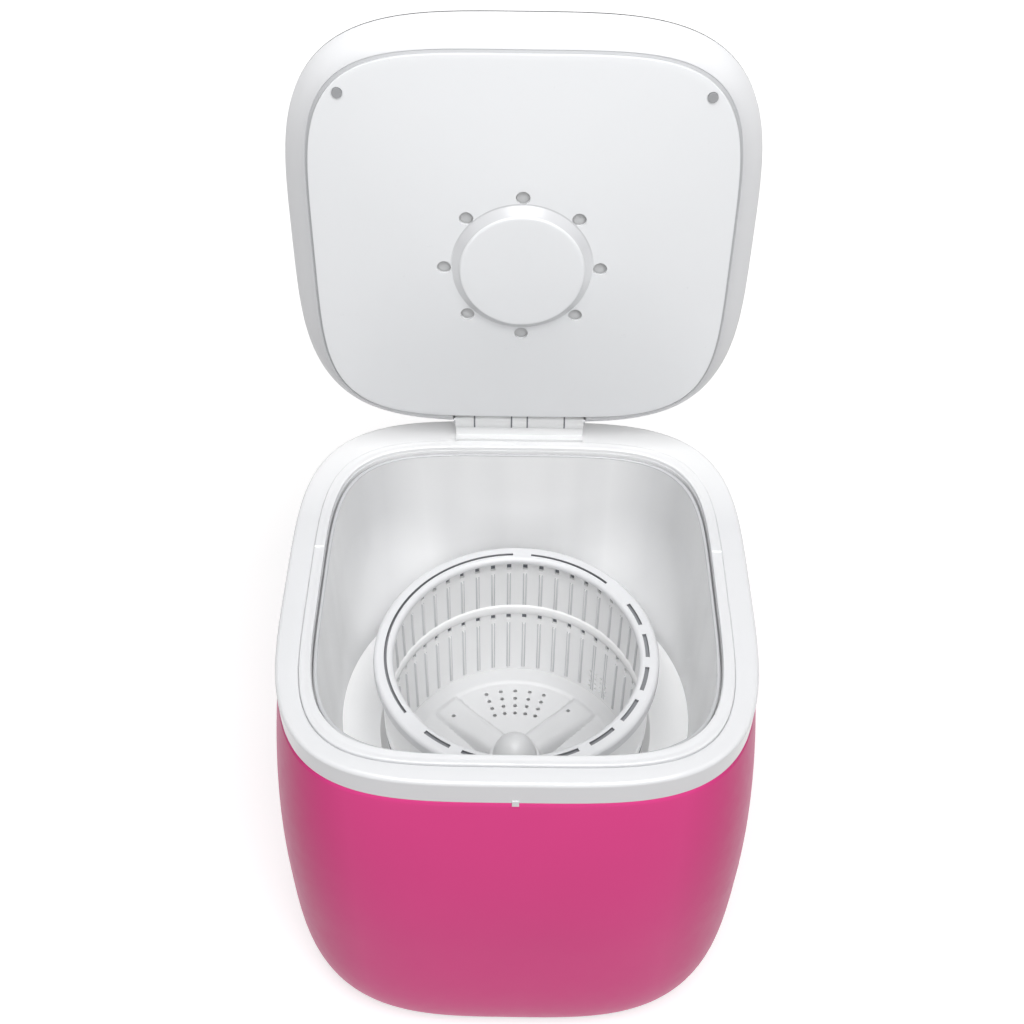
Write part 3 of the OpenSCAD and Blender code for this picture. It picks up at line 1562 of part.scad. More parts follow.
module ring_arc(r, w, z, h, a0, a1) {
  rotate(a0)
    rotate_extrude(angle = a1 - a0)
      translate([r - w / 2, z]) square([w, h]);
}

module balance_ring() {
  round_r = 4;
  color(white)
    difference() {
      rotate_extrude()
        polygon(concat(
          [
            [ring_in_r, ring_z - ring_lip_t],
            [wall_in_r, ring_z - ring_lip_t],
            [wall_in_r, ring_low_z],
            [ring_r - 1.5, ring_low_z],
            [ring_r, ring_low_z + 1.5]
          ],
          [
            for (a = [0 : 18 : 90])
              [ring_r - round_r + round_r * cos(a), ring_z - round_r + round_r * sin(a)]
          ],
          [
            for (a = [90 : 18 : 180])
              [ring_in_r + round_r + round_r * cos(a), ring_z - round_r + round_r * sin(a)]
          ]
        ));
      for (g = groove_arcs)
        ring_arc(groove_r, groove_w, ring_z - groove_deep, groove_deep + bite, g[0], g[1]);
      for (i = [0 : pocket_count - 1])
        ring_arc(groove_r, groove_w + 1, ring_z - 3, 3 + bite, 16 - i * 18.4, 29 - i * 18.4);
    }
}

module hub_cap() {
  cap_h = basket_floor_z + hub_h - hub_top_z;
  color(white)
    translate([0, 0, hub_top_z])
      rotate_extrude()
        polygon(concat(
          [[0, 0], [hub_r, 0]],
          [for (a = [9 : 9 : 81]) [hub_r * cos(a), cap_h * sin(a)]],
          [[0, cap_h]]
        ));
}

module motor_shaft() {
  color(steel)
    at_motor()
      translate([0, 0, belt_z - 12])
        cylinder(r = motor_shaft_r, h = can_top_z + 1 - belt_z + 12, $fn = 64);
}

module motor_rotor() {
  color(steel)
    at_motor()
      tube(rotor_r, motor_shaft_r + fixed_gap, rotor_z, rotor_h);
}

module small_pulley() {
  color(steel)
    at_motor()
      wheel(pinion_r, pulley_lip, pinion_r - 2, belt_z - 9, belt_z + 9, motor_shaft_r + fixed_gap,
            false);
}

casing();
collar();
front_clip();
lid_seal();
tub();
tub_bowl();
drain_grille();
shaft_seal();
bearing_housing();
bearing_bushes();
bearing_bolts();
base_pan();
foot_ring();
base_screws();
motor_plate();
motor_posts();
motor_bolts();
motor_can();
motor_shield();
motor_stator();
drive_belt();
capacitor();
capacitor_clip();
drain_elbow();
drain_spigot();
cord_gland();
gland_nut();
terminal_box();
reed_switch();
hinge_bracket();
hinge_pin();
hinge_screws();
lid_top();
lid_rim();
lid_panel();
lid_frame();
hinge_arms();
arm_screws();
lid_screws();
timer_body();
dial_plate();
lid_magnet();
timer_knob();
timer_shaft();
drive_shaft();
large_pulley();
pulley_nut();
pulsator();
pulsator_screw();
basket_wall();
basket_base();
balance_ring();
hub_cap();
motor_rotor();
motor_shaft();
small_pulley();
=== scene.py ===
import math
import bpy
from mathutils import Matrix, Vector


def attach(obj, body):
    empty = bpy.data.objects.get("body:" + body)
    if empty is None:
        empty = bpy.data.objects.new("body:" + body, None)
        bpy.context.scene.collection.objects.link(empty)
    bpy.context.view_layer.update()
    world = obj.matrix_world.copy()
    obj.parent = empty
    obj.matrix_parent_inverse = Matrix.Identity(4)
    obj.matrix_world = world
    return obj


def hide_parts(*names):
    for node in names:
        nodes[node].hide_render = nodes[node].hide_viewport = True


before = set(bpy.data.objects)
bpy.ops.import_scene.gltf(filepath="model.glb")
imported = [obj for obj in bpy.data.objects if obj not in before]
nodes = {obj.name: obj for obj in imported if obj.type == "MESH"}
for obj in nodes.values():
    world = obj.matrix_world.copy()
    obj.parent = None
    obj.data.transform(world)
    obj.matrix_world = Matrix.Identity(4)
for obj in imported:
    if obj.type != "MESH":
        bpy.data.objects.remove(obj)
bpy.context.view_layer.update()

mm = 0.001
print("frame loaded:", len(nodes), "nodes")


# shader maths: an expression on wrapped sockets adds its own Math nodes
class Value:
    def __init__(self, tree, socket):
        self.tree = tree
        self.socket = socket

    def math(self, operation, *others):
        node = self.tree.nodes.new("ShaderNodeMath")
        node.operation = operation
        for i, v in enumerate((self,) + others):
            plug(self.tree, node.inputs[i], v)
        return Value(self.tree, node.outputs[0])

    def __add__(self, v):
        return self.math("ADD", v)

    __radd__ = __add__

    def __sub__(self, v):
        return self.math("SUBTRACT", v)

    def __mul__(self, v):
        return self.math("MULTIPLY", v)

    def __pow__(self, v):
        return self.math("POWER", v)

    def __abs__(self):
        return self.math("ABSOLUTE")

    def above(self, v):
        return self.math("GREATER_THAN", v)

    def between(self, a, b):
        return self.above(a) * self.math("LESS_THAN", b)

    def larger(self, v):
        return self.math("MAXIMUM", v)

    def clamp(self):
        return self.larger(0.0).math("MINIMUM", 1.0)


def plug(tree, socket, v):
    if isinstance(v, Value):
        tree.links.new(v.socket, socket)
    elif hasattr(v, "is_linked"):
        tree.links.new(v, socket)
    else:
        socket.default_value = v


class Finish:
    # one material: its node tree and the methods that add to it
    def __init__(self, name):
        self.material = bpy.data.materials.new(name)
        self.material.use_nodes = True
        self.tree = self.material.node_tree
        self.tree.nodes.clear()

    def add(self, kind, settings=None, **sockets):
        node = self.tree.nodes.new("ShaderNode" + kind)
        for k, v in (settings or {}).items():
            setattr(node, k, v)
        for k, v in sockets.items():
            plug(self.tree, node.inputs[k.replace("_", " ")], v)
        return node

    def place(self):
        return self.add("TexCoord").outputs["Object"]

    def axes(self):
        node = self.add("SeparateXYZ", None, Vector=self.place())
        return [Value(self.tree, s) for s in node.outputs]

    def noise(self, scale, detail=3.0, roughness=0.5, stretch=None):
        at = self.place()
        if stretch:
            at = self.add("Mapping", None, Vector=at, Scale=stretch).outputs[0]
        node = self.add("TexNoise", None, Vector=at, Scale=scale, Detail=detail, Roughness=roughness)
        return Value(self.tree, node.outputs[0])

    def mixColour(self, factor, a, b):
        node = self.add("Mix", {"data_type": "RGBA"})
        plug(self.tree, node.inputs[0], factor)
        plug(self.tree, node.inputs[6], a)
        plug(self.tree, node.inputs[7], b)
        return node.outputs[2]

    def mixShader(self, factor, a, b):
        node = self.add("MixShader")
        for socket, v in zip(node.inputs, (factor, a.outputs[0], b.outputs[0])):
            plug(self.tree, socket, v)
        return node

    def bump(self, height, strength, distance):
        return self.add("Bump", None, Height=height, Strength=strength, Distance=distance).outputs[0]

    def done(self, shader):
        self.add("OutputMaterial", None, Surface=shader.outputs[0])
        return self.material

    def surface(self, **sockets):
        return self.done(self.add("BsdfPrincipled", None, **sockets))


def rgba(r, g, b):
    return (r, g, b, 1.0)


def darker(colour, share):
    return rgba(*(c * share for c in colour))


# moulded plastic: faint mottling, very fine orange peel, rare handling marks in the gloss
def mouldedPlastic(name, colour, roughness=0.3, peel=0.02, coat=0.0, dirt=0.04, shine=0.5, scuffs=0.3,
                   shade=None, glow=0.0):
    # shade: painted shade and painted light, as (function that gives a factor from 0 to 1, colour there)
    m = Finish(name)
    broad = m.noise(9, 3)
    fine = m.noise(900, 2)
    scuff = m.noise(70, 6, 0.7)
    base = m.mixColour((broad * 1.4 - 0.2).clamp(), rgba(*colour), darker(colour, 1 - dirt))
    if shade:
        base = m.mixColour(shade[0](m), base, rgba(*shade[1]))
    rough = roughness + (scuff - 0.5) * 0.4 * scuffs + (fine - 0.5) * 0.05
    sockets = dict(Base_Color=base, Roughness=rough, Normal=m.bump(fine + scuff * scuffs, peel, 0.0004),
                   Specular_IOR_Level=shine)
    if coat:
        sockets["Coat_Weight"] = coat
        sockets["Coat_Roughness"] = 0.04
    if glow:  # painted light: an emission standing in for light that comes through a translucent wall
        sockets["Emission_Strength"] = glow
        sockets["Emission_Color"] = rgba(*colour)
    return m.surface(**sockets)


def turnedMetal(name, colour, roughness=0.3, metallic=1.0, grain=(1, 1, 30)):
    m = Finish(name)
    lines = m.noise(260, 4, 0.6, grain)
    blotch = m.noise(30, 3)
    base = m.mixColour((blotch * 1.5 - 0.25).clamp(), rgba(*colour), darker(colour, 0.8))
    return m.surface(Base_Color=base, Metallic=metallic, Roughness=roughness + (lines - 0.5) * 0.25,
                     Normal=m.bump(lines, 0.08, 0.0002))


def mattRubber(name, colour, roughness=0.75):
    m = Finish(name)
    fine = m.noise(1400, 3)
    broad = m.noise(25, 4)
    light = rgba(*(min(1, c * 1.5 + 0.01) for c in colour))
    base = m.mixColour((broad * 1.6 - 0.5).clamp(), rgba(*colour), light)
    return m.surface(Base_Color=base, Roughness=roughness + (fine - 0.5) * 0.15,
                     Normal=m.bump(fine, 0.12, 0.0003))


# where the painted shade and painted light on a piece begin, in metres
shadeAt = {"tubEdge": 0.3658, "tubCornerX": 0.075, "tubCornerY": 0.06, "flankX": 0.12, "collarBackY": 0.06,
           "discZ": 0.552, "discIn": 0.0478, "discOut": 0.0545,
           "grooveIn": 0.1061, "grooveOut": 0.1099, "grooveLow": 0.270, "grooveTop": 0.2784}


def tubShade(m):
    # painted shade: the top edge of the tub lies in the shade of the collar, and soft upright bands of shade
    # cross its wall
    bands = (m.noise(26, 1, 0.5, (1, 1, 0.04)) * 3 - 1.3).clamp()
    return m.axes()[2].above(shadeAt["tubEdge"]).larger(bands * 0.2)


def tubCorners(m):
    # the bands in the tub, and its two back corners, which lie in soft shade
    x, y, z = m.axes()
    corner = ((abs(x) - shadeAt["tubCornerX"]) * 25).clamp() * ((y - shadeAt["tubCornerY"]) * 20).clamp()
    return tubShade(m).larger(corner * 0.4)


def shellSides(m):
    # the casing's flanks, which lie in softer light
    return ((abs(m.axes()[0]) - shadeAt["flankX"]) * 20).clamp()


def collarBack(m):
    # painted light: the back of the collar is painted lighter, where the open lid shades it from the top
    # light
    return ((m.axes()[1] - shadeAt["collarBackY"]) * 12).clamp()


def discSide(m):
    # the upper side of the panel's round boss, which the top light would wash out
    x, y, z = m.axes()
    up = z - shadeAt["discZ"]
    onSide = ((x * x + up * up) ** 0.5).between(shadeAt["discIn"], shadeAt["discOut"])
    return onSide * (up * 40 + 0.2).clamp()


def insideGroove(m):
    # painted shade: the groove and the pockets in the balance ring are painted dark, as their shade
    x, y, z = m.axes()
    r = (x * x + y * y) ** 0.5
    deep = z.between(shadeAt["grooveLow"], shadeAt["grooveTop"])
    return r.between(shadeAt["grooveIn"], shadeAt["grooveOut"]) * deep


def nearPanel(m):
    # painted shade: the lid's rim darkens towards the panel, where the groove beside the panel shades it
    edge = m.add("Attribute", {"attribute_name": "edge"})
    return Value(m.tree, edge.outputs["Fac"]) ** 3.0


# painted light and shade: the white parts are painted in greys set by the light on them, darker where they
# face the top light (the collar, the lid's rim, the basket's floor and hub), lighter deep in the tub (the
# tub, its bowl and the basket's wall)
finishes = {
    "shell": mouldedPlastic("pinkShell", (0.74, 0.058, 0.255), 0.34, 0.01, dirt=0.05, shine=0.1,
                            shade=(shellSides, (0.59, 0.024, 0.18))),
    "lid": mouldedPlastic("lidGloss", (0.80, 0.805, 0.82), 0.25, 0.015, coat=0.3),
    "panel": mouldedPlastic("panelSatin", (0.76, 0.77, 0.785), 0.3, 0.008, coat=0.15, dirt=0.02,
                            shade=(discSide, (0.56, 0.565, 0.58))),
    "collar": mouldedPlastic("collarGloss", (0.70, 0.705, 0.72), 0.24, 0.015, coat=0.3,
                             shade=(collarBack, (0.86, 0.863, 0.87))),
    "rim": mouldedPlastic("lidRimGloss", (0.77, 0.775, 0.79), 0.34, 0.015, coat=0.05,
                          shade=(nearPanel, (0.61, 0.615, 0.63))),
    "tub": mouldedPlastic("tubSatin", (0.90, 0.903, 0.908), 0.26, 0.006, dirt=0.03, scuffs=0.05,
                          shade=(tubCorners, (0.5, 0.505, 0.52))),
    # painted light: the bowl is paler than the tub and glows faintly, to lift the shade deep in the tub
    "bowl": mouldedPlastic("bowlSatin", (0.96, 0.962, 0.965), 0.3, 0.006, dirt=0.02, scuffs=0.05,
                           glow=0.12),
    "basket": mouldedPlastic("basketSatin", (0.94, 0.942, 0.945), 0.32, 0.01, dirt=0.03, scuffs=0.1),
    "floor": mouldedPlastic("basketFloor", (0.70, 0.703, 0.71), 0.34, 0.01, dirt=0.03, scuffs=0.1),
    # painted shade on the flanks of the basket's ribs
    "ribSide": mouldedPlastic("ribSide", (0.62, 0.625, 0.64), 0.4, 0.01),
    "ventShade": mouldedPlastic("ventShadeGrey", (0.6, 0.605, 0.61), 0.4, 0.01),
    # painted highlight on the crests of the ribs, the basket's band and the bead's steps
    "raised": mouldedPlastic("paintedHighlight", (0.97, 0.972, 0.975), 0.25, 0.01, dirt=0.02, scuffs=0.1),
    "ring": mouldedPlastic("ringSatin", (0.70, 0.705, 0.72), 0.3, 0.01, scuffs=0.1,
                           shade=(insideGroove, (0.24, 0.245, 0.26))),
    "screen": mouldedPlastic("screenGrey", (0.17, 0.18, 0.20), 0.6, 0.03),
    "seam": mouldedPlastic("seamGrey", (0.45, 0.455, 0.47), 0.6, 0.02),
    "white": mouldedPlastic("smallWhite", (0.88, 0.885, 0.89), 0.3, 0.02),
    "grey": mouldedPlastic("greyPlastic", (0.55, 0.56, 0.58), 0.4, 0.05),
    "cap": mouldedPlastic("screwCap", (0.31, 0.315, 0.325), 0.5, 0.03),
    "black": mouldedPlastic("blackPlastic", (0.02, 0.02, 0.022), 0.4, 0.06, dirt=0.3),
    "rubber": mattRubber("blackRubber", (0.015, 0.015, 0.016)),
    "steel": turnedMetal("steel", (0.6, 0.6, 0.62), 0.3),
    "alloy": turnedMetal("castAlloy", (0.55, 0.56, 0.58), 0.45, grain=(1, 1, 1)),
    "can": turnedMetal("paintedCan", (0.03, 0.035, 0.045), 0.4, 0.3),
    "bronze": turnedMetal("bronze", (0.45, 0.3, 0.15), 0.35),
    "copper": turnedMetal("copper", (0.65, 0.28, 0.14), 0.35),
}
print("finishes made:", len(finishes))


# outlines and lofts in millimetres: the same curves as the solids, with more points
points = 288


def lerp(a, b, f):
    return a + (b - a) * f


def ease(f):
    f = min(1.0, max(0.0, f))
    return f * f * (3 - 2 * f)


def curve(v, p):
    return math.copysign(abs(v) ** p, v)


def polar(r, degrees):
    return r * math.cos(math.radians(degrees)), r * math.sin(math.radians(degrees))


def outline(hw, hd, square, mid, z):
    ring = []
    for i in range(points):
        t = 2 * math.pi * i / points
        x = hw * curve(math.cos(t), 2 / square)
        y = hd * curve(math.sin(t), 2 / square)
        ring.append((x, mid + y, z))
    return ring


def roundRing(r, z, mid=0):
    return outline(r, r, 2, mid, z)


def arc(cx, cz, r, a0, a1, steps):
    # points of a rounded edge in a section, angles in degrees
    turns = [polar(r, lerp(a0, a1, i / steps)) for i in range(steps + 1)]
    return [(cx + x, cz + z) for x, z in turns]


def smoothed(mesh, degrees=40):
    mesh.shade_smooth()
    mesh.set_sharp_from_angle(angle=math.radians(degrees))


def meshObject(name, verts, faces, finish, smooth=40):
    used = sorted({i for f in faces for i in f})
    place = {v: i for i, v in enumerate(used)}
    faces = [tuple(place[i] for i in f) for f in faces]
    mesh = bpy.data.meshes.new(name)
    mesh.from_pydata([tuple(c * mm for c in verts[v]) for v in used], [], faces)
    mesh.validate()
    mesh.update()
    obj = bpy.data.objects.new(name, mesh)
    bpy.context.scene.collection.objects.link(obj)
    mesh.materials.append(finish)
    smoothed(mesh, smooth)
    return obj


def loftMesh(name, rings, finish, smooth=40):
    # the last ring joins the first, so the skin is closed
    n, m = len(rings[0]), len(rings)
    verts = [p for r in rings for p in r]
    faces = []
    for k in range(m):
        a, b = k * n, (k + 1) % m * n
        for i in range(n):
            j = (i + 1) % n
            faces.append((a + i, a + j, b + j, b + i))
    return meshObject(name, verts, faces, finish, smooth)


def lathe(name, section, finish, at=(0, 0, 0), along="Z", count=96, smooth=40):
    # section: (radius, distance along the axis)
    rings = []
    for r, h in section:
        ring = []
        for i in range(count):
            t = 2 * math.pi * i / count
            x, y = r * math.cos(t), r * math.sin(t)
            if along == "Z":
                ring.append((at[0] + x, at[1] + y, at[2] + h))
            elif along == "Y":
                ring.append((at[0] + x, at[1] + h, at[2] - y))
            else:
                ring.append((at[0] + h, at[1] + x, at[2] + y))
        rings.append(ring)
    return loftMesh(name, rings, finish, smooth)


def cutAway(obj, cutter):
    # takes the cutter out of a mesh
    cut = obj.modifiers.new("cut", "BOOLEAN")
    cut.object = cutter
    cut.operation = "DIFFERENCE"
    cut.solver = "EXACT"
    deps = bpy.context.evaluated_depsgraph_get()
    mesh = bpy.data.meshes.new_from_object(obj.evaluated_get(deps))
    obj.modifiers.clear()
    obj.data = mesh
    bpy.data.objects.remove(cutter)
    smoothed(mesh)


def placeAt(x, y, z):
    return Matrix.Translation(Vector((x, y, z)))


def outward(start, degrees, z):
    # from a radius straight out of the basket
    turn = Matrix.Rotation(math.radians(degrees), 4, "Z")
    lay = Matrix.Rotation(math.radians(90), 4, "Y")
    return placeAt(0, 0, z) @ turn @ placeAt(start, 0, 0) @ lay


def drill(obj, holes, sides=40):
    # holes: (where the bit starts and points, its radius, its length)
    verts, faces = [], []
    for way, r, h in holes:
        base = len(verts)
        for k in (0, 1):
            for i in range(sides):
                t = 2 * math.pi * i / sides
                verts.append(tuple(way @ Vector((r * math.cos(t), r * math.sin(t), h * k)) * mm))
        faces.append([base + sides - 1 - i for i in range(sides)])
        faces.append([base + sides + i for i in range(sides)])
        for i in range(sides):
            j = (i + 1) % sides
            faces.append([base + i, base + j, base + sides + j, base + sides + i])
    mesh = bpy.data.meshes.new("drillBits")
    mesh.from_pydata(verts, [], faces)
    bits = bpy.data.objects.new("drillBits", mesh)
    bpy.context.scene.collection.objects.link(bits)
    cutAway(obj, bits)


body = {"w": 180.0, "d": 185.5, "y": -4.0, "rim": 371.0, "band": 348.5, "square": 3.8, "foot": 3.3,
        "swell": 15.0, "swellZ": 150.0, "drawIn": 29.0, "footRound": 3.8, "wall": 3.0, "lift": 6.0,
        "edge": 3.0, "lip": 7.5}
mouth = {"w": 152.4, "d": 155.1, "y": -10.5, "square": 4.4, "seal": 9.0, "sealTop": 373.0, "sealSeat": 2.0,
         "skirt": 2.2, "skirtH": 12.2, "plate": 5.0}
# the small step where the bead's two halves meet
step = {"y": 27.6, "half": 0.7, "inner": 0.8, "outer": 8.2, "sink": 0.6, "h": 0.95}
hinge = {"y": 161.0, "z": 390.0, "open": 94.0}


def casingOut(z):
    if z >= body["swellZ"]:
        return body["swell"] * (1 - ((z - body["swellZ"]) / (body["band"] - body["swellZ"])) ** 2)
    down = (body["swellZ"] - z) / body["swellZ"]
    return body["swell"] - body["drawIn"] * (1 - math.sqrt(max(0, 1 - down ** body["footRound"])))


def casingRing(z, grow=0.0):
    square = lerp(body["square"], body["foot"], (body["band"] - z) / body["band"])
    out = casingOut(z) + grow
    return outline(body["w"] + out, body["d"] + out, square, body["y"], z)


def collarRing(grow, z):
    return outline(body["w"] + grow, body["d"] + grow, body["square"], body["y"], z)


def mouthRing(grow, z):
    return outline(mouth["w"] + grow, mouth["d"] + grow, mouth["square"], mouth["y"], z)


# the casing
def makeCasing():
    low, top, wall = body["lift"], body["band"], body["wall"]
    high = top - 0.8 - low
    rings = [casingRing(low, -1.2), casingRing(low, -0.5), casingRing(low + 0.15, -0.15)]
    rings += [casingRing(low + 0.4 + high * (i / 90) ** 1.35) for i in range(1, 91)]
    # the top edge, and the lip that goes up into the collar
    lip = ((-0.25, -0.1), (-0.6, 0), (-3.1, 0), (-3.1, body["lip"]), (-5.8, body["lip"]))
    rings += [collarRing(grow, top + h) for grow, h in lip]
    rings += [casingRing(z, -wall) for z in (340, 300, 250, 200, 150, 110, 80, 55, 40, 28, 20, 14)]
    rings += [casingRing(low, -1.5)]
    skin = loftMesh("casingSkin", rings, finishes["shell"], 50)
    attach(skin, "housing")
    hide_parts("casing")


# the two pads at the rear: x of each, and the radius of its hole
rear = {"z": 50.0, "pad": 18.0, "proud": 3.0, "deep": 11.0,
        "ports": {"drainPad": (-60.0, 12.3), "cordPad": (60.0, 7.3)}}


def makePads():
    face = body["y"] + body["d"] + casingOut(rear["z"]) + rear["proud"]
    inner, r = face - rear["deep"], rear["pad"]
    for name, (x, hole) in rear["ports"].items():
        section = [(hole, inner), (r, inner), (r, face - 1)]
        section += [(r - 0.3, face - 0.3), (r - 1, face), (hole, face)]
        pad = lathe(name, section, finishes["shell"], (x, 0, rear["z"]), "Y")
        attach(pad, "housing")


makeCasing()
makePads()
print("casing made")


# the collar and its bead
def makeCollar():
    top, band, edge, seal = body["rim"], body["band"], body["edge"], mouth["seal"]
    seat, skirtLow, plate = top - mouth["sealSeat"], top - mouth["skirtH"], top - mouth["plate"]
    outer = [(-0.5, band), (-0.15, band + 0.15), (0, band + 0.5)]
    outer += [(0, lerp(band + 1, top - edge - 0.2, i / 5)) for i in range(6)]
    turns = [polar(edge, a) for a in (0, 12, 25, 40, 55, 70, 82, 90)]
    outer += [(x - edge, top - edge + z) for x, z in turns]
    inner = [(seal + 8, top), (seal + 1.2, top), (seal + 0.4, top - 0.25), (seal, top - 0.8), (seal, seat)]
    inner += [(0, seat), (0, skirtLow + 0.3), (0.3, skirtLow)]
    inner += [(mouth["skirt"], skirtLow), (mouth["skirt"], plate)]
    under = [(-2.8, plate), (-2.8, band)]
    rings = [collarRing(*p) for p in outer] + [mouthRing(*p) for p in inner] + [collarRing(*p) for p in under]
    piece = loftMesh("collarSkin", rings, finishes["collar"], 35)
    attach(piece, "housing")
    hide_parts("collar")


def makeBead():
    # a low moulded bead: it rises at its inner edge and dips in the middle
    low, top = body["rim"] - mouth["sealSeat"], mouth["sealTop"]
    section = [(0.2, low), (0.2, top - 1.4)]
    section += arc(1.2, top - 1.0, 1.0, 180, 90, 5)
    section += [(2.6, top - 0.05), (4.2, top - 0.5), (5.8, top - 0.5)]
    section += arc(7.5, top - 1.3, 1.2, 90, 0, 5)
    section += [(8.8, low)]
    bead = loftMesh("mouthBead", [mouthRing(g, z) for g, z in section], finishes["collar"], 50)
    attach(bead, "housing")
    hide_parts("lid_seal")
    sides = [(0, 1, 3, 2), (4, 6, 7, 5), (0, 4, 5, 1), (2, 3, 7, 6), (1, 5, 7, 3), (0, 2, 6, 4)]
    for side in (-1, 1):
        corners = [(side * (mouth["w"] + g), step["y"] + d, top - step["sink"] + h)
                   for g in (step["inner"], step["outer"]) for d in (-step["half"], step["half"])
                   for h in (0, step["h"])]
        # painted highlight: the steps are painted bright, as glints where the bead's halves meet
        block = meshObject("beadStep", corners, sides, finishes["raised"])
        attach(block, "housing")


makeCollar()
makeBead()
print("collar made")


# the tub: its wall turns from square to round, and a slope below the seam leads in to the bowl
tub = {"wall": 2.5, "gap": 1.2, "rim": 367.0, "floor": 95.0, "under": 92.0, "padLow": 84.0, "bowl": 118.0,
       "floorR": 112.0, "straight": 310.0, "seam": 210.0, "slopeLow": 178.0, "bowlLow": 111.0, "draft": 1.5,
       "lap": 10.0, "lapT": 2.5, "lapGap": 0.2, "flange": 356.0, "flangeT": 2.5, "flangeIn": 3.6,
       "edge": 0.6, "pad": 48.0, "sealHole": 14.1}


def tubRing(z, grow):
    f = ease((tub["straight"] - z) / (tub["straight"] - tub["seam"]))
    draft = tub["draft"] * (tub["rim"] - z) / (tub["rim"] - tub["seam"])
    w, d = mouth["w"] - tub["gap"], mouth["d"] - tub["gap"]
    return outline(w - draft + grow, lerp(d - draft, w - draft, f) + grow,
                   lerp(mouth["square"], 2, f), mouth["y"] + f * (d - w), z)


def makeTub():
    wall, edge, low, rim = tub["wall"], tub["edge"], tub["seam"] + 0.02, tub["rim"]
    flange = tub["flange"]
    flangeTop = flange + tub["flangeT"]
    rings = [tubRing(lerp(low, flange, i / 44), 0) for i in range(45)]
    rings += [collarRing(-tub["flangeIn"], z) for z in (flange, flangeTop)]
    rings += [tubRing(flangeTop, 0), tubRing(rim - edge, 0), tubRing(rim, -edge)]
    rings += [tubRing(rim, edge - wall), tubRing(rim - edge, -wall)]
    rings += [tubRing(lerp(rim - 1, low, i / 64), -wall) for i in range(65)]
    piece = loftMesh("tubSkin", rings, finishes["tub"], 45)
    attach(piece, "housing")
    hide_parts("tub")


def makeTubBowl():
    wall, floor, floorR, bowl = tub["wall"], tub["floor"], tub["floorR"], tub["bowl"]
    low, high, seam = tub["bowlLow"], tub["slopeLow"], tub["seam"]
    seamR = mouth["w"] - tub["gap"] - tub["draft"]
    seamMid = mouth["y"] + mouth["d"] - mouth["w"]
    lapR = seamR + tub["lapGap"]
    rings = [roundRing(floorR + wall, tub["under"]), roundRing(bowl + wall, low)]
    rings += [roundRing(bowl + wall, high - 1), roundRing(lapR + tub["lapT"], seam - tub["lapT"], seamMid)]
    rings += [tubRing(seam + tub["lap"], tub["lapGap"] + t) for t in (tub["lapT"], 0)]
    rings += [roundRing(lapR, seam, seamMid), roundRing(seamR - wall, seam, seamMid)]
    for i in range(1, 25):  # the slope, rounded where it meets the bowl
        f = i / 24
        share = f - 0.04 * math.sin(math.pi * f)
        rings.append(roundRing(lerp(seamR - wall, bowl, share), lerp(seam, high, f), lerp(seamMid, 0, share)))
    rings += [roundRing(bowl, lerp(high, low, i / 6)) for i in range(1, 7)]
    for i in range(1, 13):  # rounded corner between wall and floor
        a = math.pi / 2 * i / 12
        rings.append(roundRing(lerp(floorR, bowl, math.cos(a)), low - (low - floor) * math.sin(a)))
    rings += [roundRing(r, floor) for r in (100, 80, 60, 40, 24, tub["sealHole"])]
    rings += [roundRing(r, tub["padLow"]) for r in (tub["sealHole"], tub["pad"])]
    rings += [roundRing(tub["pad"], tub["under"])]
    piece = loftMesh("tubBowlSkin", rings, finishes["bowl"], 25)
    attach(piece, "housing")
    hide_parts("tub_bowl")


makeTub()
makeTubBowl()
print("tub made")


# the lid: drawn shut, then opened about the hinge as the solids are
lid = {"w": 177.0, "d": 177.0, "y": -10.5, "square": 3.6, "seam": 395.5, "edgeH": 9.0, "edgeIn": 12.0,
       "dome": 12.0, "seat": 50.0, "wall": 2.5, "drop": 18.5, "rimW": 19.0, "rimCurve": 1.2, "groove": 2.3,
       "panelW": 157.5, "panelD": 156.0, "panelSquare": 4.4, "panelH": 14.0, "face": 374.0, "fall": 3.8,
       "disc": 47.4, "discOut": 7.0, "discEdge": 1.2, "shaftR": 3.3, "strip": 1.6}
vents = {"count": 8, "ring": 59.3, "r": 5.3, "land": 1.2, "deep": 8}
ventShade = {"half": 7.2, "up": 4.2, "t": 1.2}
lidScrew = {"x": 130.9, "y": 127.0, "r": 4.1, "deep": 4.6}
# what the hinge needs: half its width, and y and z of two corners
notch = {"half": 55.8, "shell": ((150, 390), (190, 398.5)), "rim": ((146.5, 370), (190, 400))}
lipW = lid["panelW"] + lid["groove"]
lipD = lid["panelD"] + lid["groove"]


def swingLid(obj):
    turn = Matrix.Rotation(math.radians(-hinge["open"]), 4, "X")
    pivot = placeAt(0, hinge["y"] * mm, hinge["z"] * mm)
    obj.data.transform(pivot @ turn @ pivot.inverted())
    obj.data.update()
    return obj


def clearHinge(obj, corners):
    low, high = [(side * notch["half"],) + c for side, c in zip((-1, 1), corners)]
    bpy.ops.mesh.primitive_cube_add(size=1)
    cutter = bpy.context.object
    cutter.scale = [(b - a) * mm for a, b in zip(low, high)]
    cutter.location = [(b + a) / 2 * mm for a, b in zip(low, high)]
    bpy.context.view_layer.update()
    cutAway(obj, cutter)


def lidRing(grow, z):
    return outline(lid["w"] + grow, lid["d"] + grow, lid["square"], lid["y"], z)


def topRing(f, z):
    w, d = lid["w"] - lid["edgeIn"], lid["d"] - lid["edgeIn"]
    return outline(lerp(w, lid["seat"], f), lerp(d, lid["seat"], f),
                   lerp(lid["square"], 2, f), lerp(lid["y"], 0, f), z)


def topZ(f):
    return lid["seam"] + lid["edgeH"] + lid["dome"] * (1 - (1 - f) ** 2)


def rimRing(f, z):
    return outline(lerp(lid["w"], lipW, f), lerp(lid["d"], lipD, f),
                   lerp(lid["square"], lid["panelSquare"], f), lid["y"], z)


